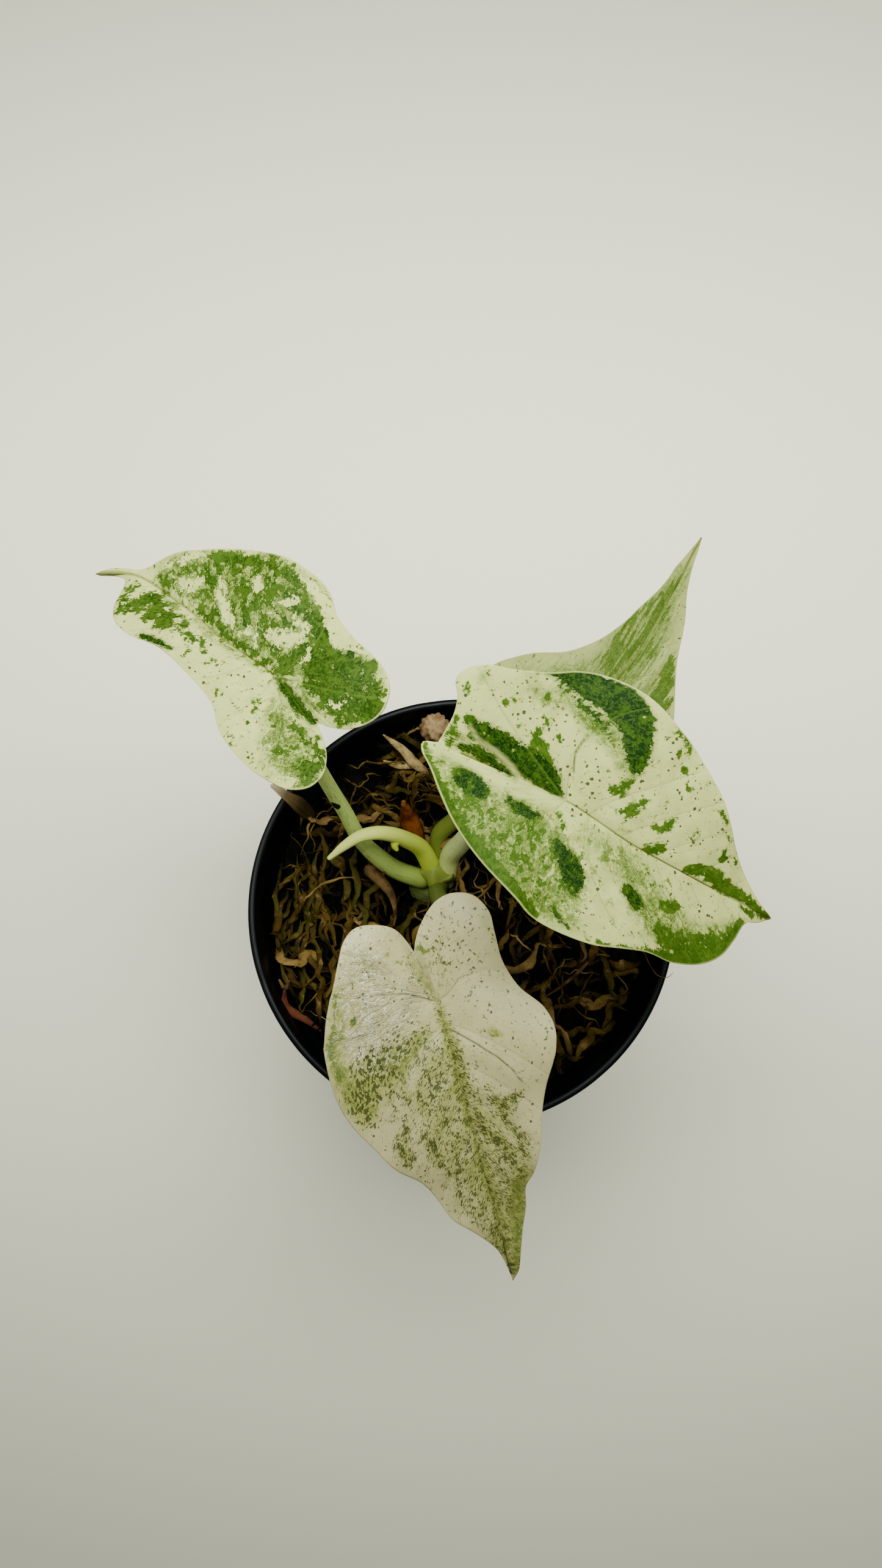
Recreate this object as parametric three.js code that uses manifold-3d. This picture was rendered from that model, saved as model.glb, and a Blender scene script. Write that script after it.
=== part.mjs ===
// Potted variegated alocasia longiloba: a young aroid with four arrow-shaped blades on long stalks,
// growing in sphagnum moss in a small tapered nursery pot.
// Millimetres, +Z up. The origin is the middle of the flat underside of the pot, and -Y is the front.
import * as THREE from "three";
import { mergeVertices } from "three/addons/utils/BufferGeometryUtils.js";
import Module from "manifold-3d";

const wasm = await Module();
wasm.setup();

// Clearance between two pieces that touch on the real plant.
const GAP = 0.3;

// Pot: a rolled lip on a short collar, which steps in by `step` to a wall that tapers to the base.
const POT = {
  height: 76,
  lipRadius: 45,
  lipWidth: 1.6,
  lipDepth: 4.6,
  lipEdge: 0.6,
  collarRadius: 44.1,
  collarDepth: 9,
  step: 0.8,
  stepHeight: 0.6,
  wall: 1.2,
  baseRadius: 30.6,
  baseEdge: 1,
  floor: 1.6,
  segments: 56,
};
const DRAIN = { count: 6, radius: 3, ring: 20, sides: 12 };

// Moss: its mean level, the height of its bumps, how far down its side reaches up, and its rounded foot.
// It is hollow beside the stem and dips round it.
const MOSS = { level: 65, bump: 1.1, side: 4, foot: 2, segments: 48, rings: 12 };
// Each wave of its top: radians a millimetre along x and y, and a phase.
const WAVES = [[0.34, 0.17, 0], [0.13, -0.43, 1], [0.62, 0.47, 2]];
const HOLLOW = { x: -12, y: 1, depth: 6, spread: 5 };
const DIP = { depth: 4.6, spread: 7 };
// Strands on the moss: each leaves it, arches over it and goes back in, and bends at random.
const STRANDS = {
  count: 40,
  seed: 7,
  reach: 38.5,
  shortest: 13,
  longest: 24,
  radius: 1.3,
  steps: 4,
  sides: 4,
  arch: 3,
  sink: 1.1,
  bend: 1.1,
  jitter: 0.8,
  taper: [0.5, 1, 1.1, 0.9, 0.45],
  flat: 0.75,
};

// Stem: the corm with its flat shoulder, on which the stalks stand in a ring round the new shoot,
// upright over their first stretch.
const STEM = { x: -5.8, y: 8.4, shoulder: 60, ring: 3, upright: 1.6, sides: 16 };
// The corm's radius at each depth below the shoulder, from its underside up.
const CORM = [[0, 17], [3, 15.5], [6.3, 11], [7.2, 6.5], [6.2, 2.2], [4.6, 0], [0, 0]];
// Each root's distance from the axis and depth below the shoulder, with every second one turned in.
const ROOTS = {
  count: 5,
  route: [[3, 12], [6, 18], [9, 26], [9, 36]],
  turnedIn: 2,
  radii: [0.9, 0.9, 0.7, 0.5],
};

// Blade: its thickness, how it is cut into triangles, and the steps that measure its midrib.
const BLADE = { thickness: 0.7, rings: 6, sideSteps: 26, divisions: 400 };
// How far the top of a stalk stays below the middle of its blade, and its straight run below that.
const SEAT = { drop: BLADE.thickness / 2 + GAP, run: 4 };

const GOLDEN_ANGLE = Math.PI * (3 - Math.sqrt(5));

const v = (x, y, z) => new THREE.Vector3(x, y, z);
const vectors = (points) => points.map(([x, y, z = 0]) => v(x, y, z));
const UP = v(0, 0, 1);

// Value at t, from 0 to 1, on a smooth line through evenly spaced values.
function along(values, t) {
  const last = values.length - 1;
  const place = THREE.MathUtils.clamp(t, 0, 1) * last;
  const i = Math.min(Math.floor(place), last - 1);
  const x = place - i;
  const at = (k) => values[THREE.MathUtils.clamp(k, 0, last)];
  const [a, b, c, d] = [at(i - 1), at(i), at(i + 1), at(i + 2)];
  const [slope, bend, turn] = [c - a, 2 * a - 5 * b + 4 * c - d, 3 * b - a - 3 * c + d];
  return b + 0.5 * x * (slope + x * (bend + x * turn));
}

// Repeatable random numbers from 0 to 1.
function randomFrom(seed) {
  let state = seed;
  return () => {
    state = (state * 1664525 + 1013904223) % 4294967296;
    return state / 4294967296;
  };
}

function bufferOf(positions, faces) {
  const geometry = new THREE.BufferGeometry();
  geometry.setAttribute("position", new THREE.Float32BufferAttribute(positions, 3));
  geometry.setIndex(faces);
  return geometry;
}

function solidOf(geometry) {
  const bare = geometry.clone();
  bare.deleteAttribute("normal");
  bare.deleteAttribute("uv");
  const merged = mergeVertices(bare, 1e-4);
  return new wasm.Manifold(
    new wasm.Mesh({
      numProp: 3,
      vertProperties: new Float32Array(merged.attributes.position.array),
      triVerts: new Uint32Array(merged.index.array),
    }),
  );
}

function geometryOf(solid) {
  const mesh = solid.getMesh();
  return bufferOf(Array.from(mesh.vertProperties), Array.from(mesh.triVerts));
}

// The largest connected body of a solid, without loose crumbs.
function mainBody(solid) {
  const bodies = solid.decompose();
  return bodies.reduce((best, body) => (body.volume() > best.volume() ? body : best));
}

// A turned solid from [radius, height] pairs, which run from the axis round to the axis.
function turned(profile, segments) {
  const points = profile.map(([r, z]) => new THREE.Vector2(r, z));
  return new THREE.LatheGeometry(points, segments).rotateX(Math.PI / 2);
}

// A closed tapered stalk along a smooth line. radii are evenly spaced along it, flat squeezes its
// section across, and grow widens and lengthens it all round, which makes the hole it stands in.
function stalk(points, radii, { sides = 10, steps = 14, flat = 1, grow = 0 } = {}) {
  const curve = new THREE.CatmullRomCurve3(vectors(points));
  const { tangents, normals, binormals } = curve.computeFrenetFrames(steps, false);
  const positions = [];
  const faces = [];
  const ends = [curve.getPointAt(0), curve.getPointAt(1)];
  ends[0].addScaledVector(tangents[0], -grow);
  ends[1].addScaledVector(tangents[steps], grow);
  for (let i = 0; i <= steps; i++) {
    const centre = i === 0 ? ends[0] : i === steps ? ends[1] : curve.getPointAt(i / steps);
    const wide = along(radii, i / steps) + grow;
    const thin = along(radii, i / steps) * flat + grow;
    for (let j = 0; j < sides; j++) {
      const turn = (j / sides) * 2 * Math.PI;
      const point = centre
        .clone()
        .addScaledVector(normals[i], wide * Math.cos(turn))
        .addScaledVector(binormals[i], thin * Math.sin(turn));
      positions.push(...point);
    }
  }
  for (let i = 0; i < steps; i++)
    for (let j = 0; j < sides; j++) {
      const next = (j + 1) % sides;
      const [a, b, c, d] = [i * sides + j, i * sides + next, (i + 1) * sides + next, (i + 1) * sides + j];
      faces.push(a, b, c, a, c, d);
    }
  const first = positions.length / 3;
  positions.push(...ends[0], ...ends[1]);
  for (let j = 0; j < sides; j++) {
    const next = (j + 1) % sides;
    faces.push(first, next, j, first + 1, steps * sides + j, steps * sides + next);
  }
  return bufferOf(positions, faces);
}

// Pot
const collarFoot = POT.height - POT.collarDepth;
const wallTop = collarFoot - POT.stepHeight;
const potTaper = (POT.collarRadius - POT.step - POT.baseRadius) / (wallTop - POT.baseEdge);
const potWallRadius = (z) => POT.baseRadius + (z - POT.baseEdge) * potTaper;
const potInnerRadius = (z) => potWallRadius(z) - POT.wall;

function potGeometry() {
  const { height, lipRadius, lipWidth, lipDepth, lipEdge, collarRadius } = POT;
  const { baseRadius, baseEdge, floor, wall } = POT;
  const base = [[0, 0], [baseRadius - baseEdge, 0], [baseRadius - baseEdge / 4, baseEdge / 3]];
  const outside = [
    [baseRadius, baseEdge],
    [potWallRadius(wallTop), wallTop],
    [collarRadius - baseEdge / 4, collarFoot],
    [collarRadius, height - lipDepth - lipEdge],
  ];
  const lip = [
    [lipRadius, height - lipDepth],
    [lipRadius, height - lipEdge],
    [lipRadius - lipEdge / 2, height],
    [lipRadius - lipWidth + lipEdge / 2, height],
    [lipRadius - lipWidth, height - lipEdge],
  ];
  const inside = [
    [collarRadius - wall, collarFoot + wall / 2],
    [potInnerRadius(wallTop), wallTop],
    [potInnerRadius(floor + wall), floor + wall],
    [potInnerRadius(floor) - wall, floor],
    [0, floor],
  ];
  let solid = solidOf(turned([...base, ...outside, ...lip, ...inside], POT.segments));
  for (let i = 0; i < DRAIN.count; i++) {
    const turn = (i / DRAIN.count) * 2 * Math.PI;
    const hole = new THREE.CylinderGeometry(DRAIN.radius, DRAIN.radius, 4 * floor, DRAIN.sides)
      .rotateX(Math.PI / 2)
      .translate(DRAIN.ring * Math.cos(turn), DRAIN.ring * Math.sin(turn), 0);
    solid = solid.subtract(solidOf(hole));
  }
  return geometryOf(solid);
}

// Blade: arc lengths s run along the midrib from the stalk, forward to the tip and back to the notch,
// and widths w run across it, to the left (negative) or right when looking at the tip.
class Blade {
  constructor(spec) {
    this.spec = spec;
    this.curve = new THREE.CatmullRomCurve3(vectors(spec.midrib));
    this.curve.arcLengthDivisions = BLADE.divisions;
    this.total = this.curve.getLength();
    this.back = this.curve.getLengths()[Math.round(BLADE.divisions / (spec.midrib.length - 1))];
  }

  frame(s) {
    const arc = s + this.back;
    const onCurve = THREE.MathUtils.clamp(arc, 0, this.total);
    const tangent = this.curve.getTangentAt(onCurve / this.total);
    const middle = this.curve.getPointAt(onCurve / this.total).addScaledVector(tangent, arc - onCurve);
    const across = tangent.clone().cross(UP).normalize();
    const normal = across.clone().cross(tangent);
    return { middle, across, normal, u: arc / this.total };
  }

  // Each half leaves the midrib at its fold angle and then bends evenly by its curl.
  point(s, w, fraction = 0) {
    const { middle, across, normal, u } = this.frame(s);
    const half = w < 0 ? this.spec.left : this.spec.right;
    const width = Math.abs(w);
    const fold = THREE.MathUtils.degToRad(along(half.fold, u));
    const curl = THREE.MathUtils.degToRad(along(half.curl, u)) / this.spec.halfWidth;
    const out = (Math.sin(fold + curl * width) - Math.sin(fold)) / curl;
    const rise = (Math.cos(fold) - Math.cos(fold + curl * width)) / curl;
    const { height, length, phase } = this.spec.ripple;
    const ripple = height * fraction ** 3 * Math.sin((2 * Math.PI * s) / length + phase + (w < 0 ? 0 : 2));
    return middle.addScaledVector(across, Math.sign(w) * out).addScaledVector(normal, rise + ripple);
  }

  // Points round the edge, from the tip along the left half to the notch and back along the right half.
  outline(stepsPerSide) {
    const side = (points, sign) =>
      new THREE.CatmullRomCurve3(points.map(([s, w]) => v(s, sign * w, 0))).getSpacedPoints(stepsPerSide);
    const left = side(this.spec.left.edge, -1);
    const right = side(this.spec.right.edge, 1).reverse();
    return [...left.slice(0, -1), ...right.slice(0, -1)];
  }

  // Where the stalk meets the underside, and the point a little further down its own line.
  seat() {
    const { middle, normal } = this.frame(0);
    return [SEAT.run, 0].map((below) => middle.clone().addScaledVector(normal, -SEAT.drop - below));
  }

  geometry() {
    const edge = this.outline(BLADE.sideSteps);
    const count = edge.length;
    const sheet = [...this.point(0, 0)];
    for (let k = 1; k <= BLADE.rings; k++)
      for (const { x: s, y: w } of edge) {
        const fraction = k / BLADE.rings;
        sheet.push(...this.point(s * fraction, w * fraction, fraction));
      }
    const at = (k, j) => 1 + (k - 1) * count + (j % count);
    const faces = [];
    for (let j = 0; j < count; j++) {
      faces.push(0, at(1, j), at(1, j + 1));
      for (let k = 1; k < BLADE.rings; k++)
        faces.push(at(k, j), at(k + 1, j), at(k + 1, j + 1), at(k, j), at(k + 1, j + 1), at(k, j + 1));
    }
    return thickened(sheet, faces, Array.from({ length: count }, (_, j) => at(BLADE.rings, j)));
  }
}

// A closed solid from a sheet: a copy on each side of it, joined round its rim.
function thickened(sheet, faces, rim) {
  const middle = bufferOf(sheet, faces);
  middle.computeVertexNormals();
  const normals = middle.attributes.normal.array;
  const half = BLADE.thickness / 2;
  const top = sheet.map((value, i) => value + normals[i] * half);
  const bottom = sheet.map((value, i) => value - normals[i] * half);
  const shift = sheet.length / 3;
  const all = [...faces];
  for (let i = 0; i < faces.length; i += 3)
    all.push(faces[i] + shift, faces[i + 2] + shift, faces[i + 1] + shift);
  rim.forEach((a, i) => {
    const b = rim[(i + 1) % rim.length];
    all.push(a, a + shift, b + shift, a, b + shift, b);
  });
  return bufferOf([...top, ...bottom], all);
}

// Each blade: its midrib from the notch through the stalk (second point) to the tip, the fold and curl
// of its two halves in degrees from notch to tip, and the edge of each half from tip to notch.
const LEAVES = {
  right: {
    halfWidth: 22,
    ripple: { height: 0.7, length: 21, phase: 0.4 },
    midrib: [[-5, 21.6, 131], [16.8, 12.8, 126], [28.7, 5.6, 123], [41.2, 0, 117], [55.7, -5.7, 107]],
    left: {
      fold: [38, 24, 16, 14, 10],
      curl: [-45, -25, -14, -10, -6],
      edge: [
        [47.7, 0], [42.6, 1.9], [35, 6.7], [30, 10.2], [25, 14.1], [20.2, 17.2], [15.2, 19.8], [9, 20.8],
        [2, 22.3], [-3.5, 22], [-7, 20.9], [-11.5, 18.4], [-17.4, 16.3], [-21.7, 15.5], [-24.6, 14],
        [-25.8, 11.5], [-24.4, 9], [-23.7, 6], [-23.8, 2.5], [-24, 0],
      ],
    },
    right: {
      fold: [12, 14, 16, 14, 10],
      curl: [-16, -16, -16, -14, -8],
      edge: [
        [47.7, 0], [44.4, 1.8], [40.6, 3.2], [38.6, 7], [36.6, 10.6], [33.2, 13.6], [28, 15.5], [22, 16],
        [18, 17.3], [13.4, 19.3], [7, 20.5], [0, 19.8], [-8.6, 16.8], [-16.7, 11.8], [-20.8, 8],
        [-23.8, 4.6], [-26.1, 2.4], [-26.5, 1], [-25.2, 0.3], [-24, 0],
      ],
    },
  },
  left: {
    halfWidth: 18,
    ripple: { height: 0.6, length: 18, phase: 1.6 },
    midrib: [
      [-25.6, 26.4, 127], [-33.4, 35.4, 124], [-42.6, 42.5, 122], [-52.9, 51.9, 117], [-63.4, 59.6, 111],
      [-71.1, 61.1, 107],
    ],
    left: {
      fold: [20, 20, 16, 14, 10],
      curl: [-22, -22, -22, -22, -10],
      edge: [
        [49.8, 0], [44.8, 0.5], [41.3, 1.7], [38.9, 4.4], [36.8, 7.8], [33.2, 10.2], [29.4, 10.6], [24, 9.7],
        [17.7, 8.9], [11, 9.4], [6, 10.8], [1, 12.9], [-4.9, 14.4], [-11.4, 14.3], [-16.8, 13.2],
        [-20.2, 11.8], [-22.2, 9], [-21.9, 5.8], [-19.5, 3], [-15.6, 1.1], [-12.3, 0],
      ],
    },
    right: {
      fold: [26, 22, 16, 14, 10],
      curl: [-30, -22, -18, -14, -8],
      edge: [
        [49.8, 0], [46.4, 0.8], [43, 1], [40.3, 1.3], [38, 2.5], [36, 4.7], [33.3, 7.2], [27.7, 10.8],
        [22.8, 14.8], [18.5, 17], [11.2, 18.4], [4, 18.5], [1.2, 17.4], [-1.4, 15.2], [-5.9, 14.4],
        [-10.8, 14.9], [-15, 14.6], [-18.5, 12.7], [-20.6, 9.4], [-20.2, 6.4], [-17.5, 2.9], [-14.8, 1.2],
        [-12.3, 0],
      ],
    },
  },
  back: {
    halfWidth: 18,
    ripple: { height: 0.6, length: 19, phase: 2.8 },
    midrib: [[14.6, 21.8, 109], [22.9, 31.7, 108], [31.7, 43.1, 106], [41.5, 59.3, 101], [49.7, 74.3, 95]],
    left: {
      fold: [14, 14, 14, 14, 10],
      curl: [-16, -16, -16, -16, -16],
      edge: [
        [52.2, 0], [49, 0.6], [44.6, 1.4], [40.6, 2], [37.2, 2.1], [32.9, 2.7], [27, 4.3], [21.3, 5.5],
        [14.6, 7.5], [8.5, 11], [3.2, 16.1], [-4, 20], [-9.5, 20], [-15, 18], [-19.5, 14.3], [-22, 10],
        [-21.3, 5.8], [-17.6, 2.6], [-13, 0],
      ],
    },
    right: {
      fold: [14, 14, 14, 14, 10],
      curl: [-16, -16, -16, -16, -16],
      edge: [
        [52.2, 0], [49, 0.4], [44.7, 0.9], [38.6, 2.1], [34.7, 3.1], [30.2, 4.5], [25.8, 5.8], [19.7, 7.7],
        [13.5, 10.6], [8.5, 13.6], [3, 16.4], [-3, 17.8], [-9.5, 17.4], [-15.5, 15], [-20, 11.4],
        [-21.6, 7.8], [-20, 4.6], [-16.6, 1.8], [-13, 0],
      ],
    },
  },
  front: {
    halfWidth: 21,
    ripple: { height: 0.7, length: 20, phase: 4 },
    midrib: [[-9.4, -11.4, 100], [-5, -20.1, 98], [-1.8, -31.9, 96], [2.9, -48.4, 90], [9.8, -73.7, 78]],
    left: {
      fold: [18, 18, 16, 14, 10],
      curl: [-22, -22, -20, -16, -8],
      edge: [
        [59.4, 0], [57, 1.6], [51.6, 3.2], [47.6, 4.6], [43.5, 6.2], [39, 7.2], [36.3, 9.2], [30.5, 11.9],
        [25.9, 13.4], [20.4, 15.7], [13.6, 19.2], [9, 20], [5.6, 19], [1.6, 15.4], [-2, 14.3], [-6.5, 15.3],
        [-11.3, 16.2], [-15.2, 14.8], [-17.2, 11.2], [-17, 8], [-14.8, 4.2], [-12, 1.3], [-10, 0],
      ],
    },
    right: {
      fold: [18, 18, 16, 14, 10],
      curl: [-22, -22, -20, -16, -8],
      edge: [
        [59.4, 0], [54.6, 0.7], [51, 1.6], [47.8, 3.2], [44.6, 5.5], [41.3, 8.3], [35.1, 10.6], [31.6, 12.3],
        [27.6, 15.8], [22.9, 18.4], [17.2, 21.6], [11.8, 23], [4, 23.1], [-3, 22.4], [-6.8, 20.7],
        [-11, 16.8], [-15, 13.7], [-18.3, 10.8], [-19.4, 8], [-18.3, 4.5], [-15.8, 1.3], [-12.6, 0.3],
        [-10, 0],
      ],
    },
  },
};

// Each leaf stalk: the turn of its foot round the stem, its radii from foot to top, and its route.
const PETIOLES = {
  right: {
    foot: 0,
    radii: [1.3, 1.95, 1.9, 1.7, 1.5, 1.4, 1.35],
    route: [[-2.3, 11.7, 67], [-0.1, 13.4, 74], [2.3, 14.8, 83], [6.4, 16, 97], [10.7, 16.1, 109]],
  },
  left: {
    foot: 205,
    radii: [1.3, 1.6, 1.55, 1.5, 1.4, 1.3, 1.3],
    route: [
      [-14.1, 8.7, 66], [-17.9, 10.8, 71], [-21.4, 13.7, 78], [-24, 18.1, 86], [-27, 22.6, 95],
      [-30.1, 28, 106], [-32.3, 33, 116],
    ],
  },
  back: {
    foot: 62,
    radii: [1.3, 1.75, 1.7, 1.6, 1.5, 1.35, 1.3],
    route: [[-4.7, 16.2, 67], [-1.4, 18.8, 72], [5.5, 22.3, 84], [13.4, 27.1, 97]],
  },
  front: {
    foot: 290,
    radii: [1.3, 1.8, 1.75, 1.65, 1.5, 1.35, 1.3],
    route: [[-5.2, 3.9, 64.5], [-3.6, -0.4, 70], [-2.7, -7.6, 81], [-3.7, -15.4, 92]],
  },
};

const SHOOT = {
  radii: [1.3, 1.85, 1.9, 1.75, 1.6, 1.35, 0.9, 0.5],
  route: [
    [-6.9, 10.4, 65], [-8.7, 12.9, 70], [-11.8, 13.8, 77], [-14.8, 14.1, 82], [-17.8, 13.9, 85],
    [-20.8, 13.1, 86], [-24, 11.3, 85], [-26.7, 9.5, 83], [-27.7, 8.9, 82],
  ],
  tooth: [[-13.9, 13.1, 80.4], [-14.2, 11.6, 80], [-13.8, 10.4, 79.2]],
  toothRadii: [1.1, 0.7, 0.35],
};
const SHEATH = {
  foot: 124,
  radii: [1.2, 1.6, 2.5, 2.4, 1.5, 0.5],
  flat: 0.55,
  route: [[-9.9, 15.4, 65.5], [-11.2, 18.9, 72], [-12.3, 21.6, 80]],
};

// Loose pieces of moss that show on top.
const PALE_STRAND = {
  main: [[-17, 37.2, 75], [-15.5, 36.4, 73], [-12.9, 34.8, 70.6], [-10.2, 32.1, 68.6], [-7.4, 30.6, 66.6]],
  mainRadii: [0.45, 0.8, 1.1, 1.2, 0.7],
  branch: [[-17.2, 32.6, 69.6], [-14.3, 31.8, 68.8], [-9.6, 32, 68.2]],
  branchRadii: [0.45, 0.9, 0.8],
};
const MOSS_HEAD = {
  centre: [-5.6, 38.6, 74.6],
  radius: 3.2,
  folds: 5,
  foldDepth: 0.1,
  stem: [[-4.6, 34.2, 63], [-5, 36.4, 68.5], [-5.5, 37.9, 73]],
  stemRadii: [1.2, 1.5, 1.4],
};
const DRY_SCRAP = {
  route: [
    [-40.7, 25.5, 77.7], [-37.5, 23.4, 77.2], [-35.4, 22.1, 75.6], [-34, 21.3, 71.5], [-32.4, 20.2, 66.4],
  ],
  radii: [1, 1.8, 2.1, 1.9, 1.2],
  thickness: 0.7,
};

// A route that starts on the shoulder of the stem, turned round it in degrees.
function stemRoute(turn, route, ring = STEM.ring) {
  const angle = THREE.MathUtils.degToRad(turn);
  const [x, y] = [STEM.x + ring * Math.cos(angle), STEM.y + ring * Math.sin(angle)];
  const foot = STEM.shoulder + GAP;
  return [[x, y, foot], [x, y, foot + STEM.upright], ...route];
}

// Moss
function mossHeight(x, y) {
  const waves = WAVES.reduce((sum, [a, b, phase]) => sum + Math.sin(a * x + b * y + phase), 0);
  const well = ({ depth, spread }, dx, dy) => depth * Math.exp(-(dx * dx + dy * dy) / (2 * spread * spread));
  return (
    MOSS.level +
    MOSS.bump * waves -
    well(HOLLOW, x - HOLLOW.x, y - HOLLOW.y) -
    well(DIP, x - STEM.x, y - STEM.y)
  );
}

function mossBody() {
  const floor = POT.floor + GAP;
  const shoulder = MOSS.level - MOSS.side;
  const reach = potInnerRadius(shoulder) - GAP;
  const side = [
    [potInnerRadius(floor) - MOSS.foot, floor],
    [potInnerRadius(floor + MOSS.foot) - GAP, floor + MOSS.foot],
    [reach, shoulder],
  ];
  const positions = [0, 0, floor];
  const ring = (radius, heightAt) => {
    for (let j = 0; j < MOSS.segments; j++) {
      const turn = (j / MOSS.segments) * 2 * Math.PI;
      const [x, y] = [radius * Math.cos(turn), radius * Math.sin(turn)];
      positions.push(x, y, heightAt(x, y));
    }
  };
  for (const [radius, z] of side) ring(radius, () => z);
  for (let k = MOSS.rings; k > 0; k--) ring((reach * k) / MOSS.rings, mossHeight);
  const rings = side.length + MOSS.rings;
  positions.push(0, 0, mossHeight(0, 0));
  const at = (k, j) => 1 + k * MOSS.segments + (j % MOSS.segments);
  const faces = [];
  for (let j = 0; j < MOSS.segments; j++) {
    faces.push(0, at(0, j + 1), at(0, j));
    for (let k = 0; k < rings - 1; k++)
      faces.push(at(k, j), at(k, j + 1), at(k + 1, j + 1), at(k, j), at(k + 1, j + 1), at(k + 1, j));
    faces.push(at(rings - 1, j), at(rings - 1, j + 1), positions.length / 3 - 1);
  }
  return bufferOf(positions, faces);
}

// One strand of moss: it leaves the fill, arches over it and goes back in. Their middles are spread
// evenly over the top, and their headings, lengths and bends are drawn at random.
function mossStrand(index, random) {
  const { count, reach, shortest, longest, radius, steps, sides, arch, sink, bend, jitter, flat } = STRANDS;
  const turn = index * GOLDEN_ANGLE;
  const away = reach * Math.sqrt((index + 0.5) / count);
  const step = THREE.MathUtils.lerp(shortest, longest, random()) / steps;
  let heading = turn + Math.PI * (0.5 + 0.7 * (random() - 0.5));
  let x = away * Math.cos(turn) - (Math.cos(heading) * step * steps) / 2;
  let y = away * Math.sin(turn) - (Math.sin(heading) * step * steps) / 2;
  const route = [];
  for (let i = 0; i <= steps; i++) {
    const inward = Math.min(1, reach / Math.hypot(x, y));
    [x, y] = [x * inward, y * inward];
    const lift = arch * Math.sin((Math.PI * i) / steps) - sink + jitter * (random() - 0.5);
    route.push([x, y, mossHeight(x, y) + lift]);
    heading += bend * (random() - 0.5);
    x += Math.cos(heading) * step;
    y += Math.sin(heading) * step;
  }
  const thick = radius * (0.8 + 0.5 * random());
  const radii = STRANDS.taper.map((share) => share * thick);
  return stalk(route, radii, { sides, steps, flat });
}

// Stem with its roots. grow makes the hole that it stands in.
function stemSolid(grow = 0) {
  const profile = CORM.map(([radius, depth], i) => {
    const end = i === 0 ? -grow : i === CORM.length - 1 ? grow : 0;
    return [radius === 0 ? 0 : radius + grow, STEM.shoulder - depth + end];
  });
  let solid = solidOf(turned(profile, STEM.sides).translate(STEM.x, STEM.y, 0));
  for (let i = 0; i < ROOTS.count; i++) {
    const turn = ((i + 0.3) / ROOTS.count) * 2 * Math.PI;
    const route = ROOTS.route.map(([away, depth], k) => {
      const reach = k === ROOTS.route.length - 1 ? away - ROOTS.turnedIn * (i % 2) : away;
      return [STEM.x + reach * Math.cos(turn), STEM.y + reach * Math.sin(turn), STEM.shoulder - depth];
    });
    solid = solid.add(solidOf(stalk(route, ROOTS.radii, { sides: 6, steps: 6, grow })));
  }
  return solid;
}

// Everything that stands or lies in the moss, each as a function of how far it is widened.
const blades = Object.fromEntries(Object.entries(LEAVES).map(([name, spec]) => [name, new Blade(spec)]));
const petiole = (name, grow = 0) => {
  const { foot, route, radii } = PETIOLES[name];
  const seat = blades[name].seat().map((point) => point.toArray());
  return stalk([...stemRoute(foot, route), ...seat], radii, { steps: 16, grow });
};
const shoot = (grow = 0) => {
  const body = solidOf(stalk(stemRoute(0, SHOOT.route, 0), SHOOT.radii, { steps: 18, grow }));
  return body.add(solidOf(stalk(SHOOT.tooth, SHOOT.toothRadii, { sides: 6, steps: 3 })));
};
const sheath = (grow = 0) =>
  stalk(stemRoute(SHEATH.foot, SHEATH.route), SHEATH.radii, { steps: 10, flat: SHEATH.flat, grow });
const paleStrand = (grow = 0) => {
  const { main, mainRadii, branch, branchRadii } = PALE_STRAND;
  return solidOf(stalk(main, mainRadii, { sides: 7, steps: 9, grow })).add(
    solidOf(stalk(branch, branchRadii, { sides: 6, steps: 5, grow })),
  );
};
function mossHead(grow = 0) {
  const ball = new THREE.SphereGeometry(1, 14, 9);
  const { position } = ball.attributes;
  const point = v(0, 0, 0);
  for (let i = 0; i < position.count; i++) {
    point.fromBufferAttribute(position, i);
    const turn = Math.atan2(point.z, point.x);
    const away = Math.hypot(point.x, point.z);
    const fold = 1 + MOSS_HEAD.foldDepth * away * Math.sin(MOSS_HEAD.folds * turn + 3 * point.y);
    point.multiplyScalar(MOSS_HEAD.radius * fold + grow);
    position.setXYZ(i, point.x, point.y, point.z);
  }
  return solidOf(ball.translate(...MOSS_HEAD.centre)).add(
    solidOf(stalk(MOSS_HEAD.stem, MOSS_HEAD.stemRadii, { sides: 8, steps: 5, grow })),
  );
}
function dryScrap(grow = 0) {
  const { route, radii, thickness } = DRY_SCRAP;
  const curve = new THREE.CatmullRomCurve3(vectors(route));
  const steps = 9;
  const positions = [];
  const faces = [];
  for (let i = 0; i <= steps; i++) {
    const middle = curve.getPointAt(i / steps);
    const tangent = curve.getTangentAt(i / steps);
    const across = tangent.clone().cross(UP).normalize();
    const normal = across.clone().cross(tangent);
    const wide = along(radii, i / steps) + grow;
    const half = thickness / 2 + grow;
    for (const [a, b] of [[-1, -1], [1, -1], [1, 1], [-1, 1]])
      positions.push(...middle.clone().addScaledVector(across, a * wide).addScaledVector(normal, b * half));
  }
  for (let i = 0; i < steps; i++)
    for (let j = 0; j < 4; j++) {
      const [a, b] = [i * 4 + j, i * 4 + ((j + 1) % 4)];
      faces.push(a, a + 4, b + 4, a, b + 4, b);
    }
  faces.push(0, 1, 2, 0, 2, 3);
  const end = steps * 4;
  faces.push(end, end + 2, end + 1, end, end + 3, end + 2);
  return bufferOf(positions, faces);
}

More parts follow.
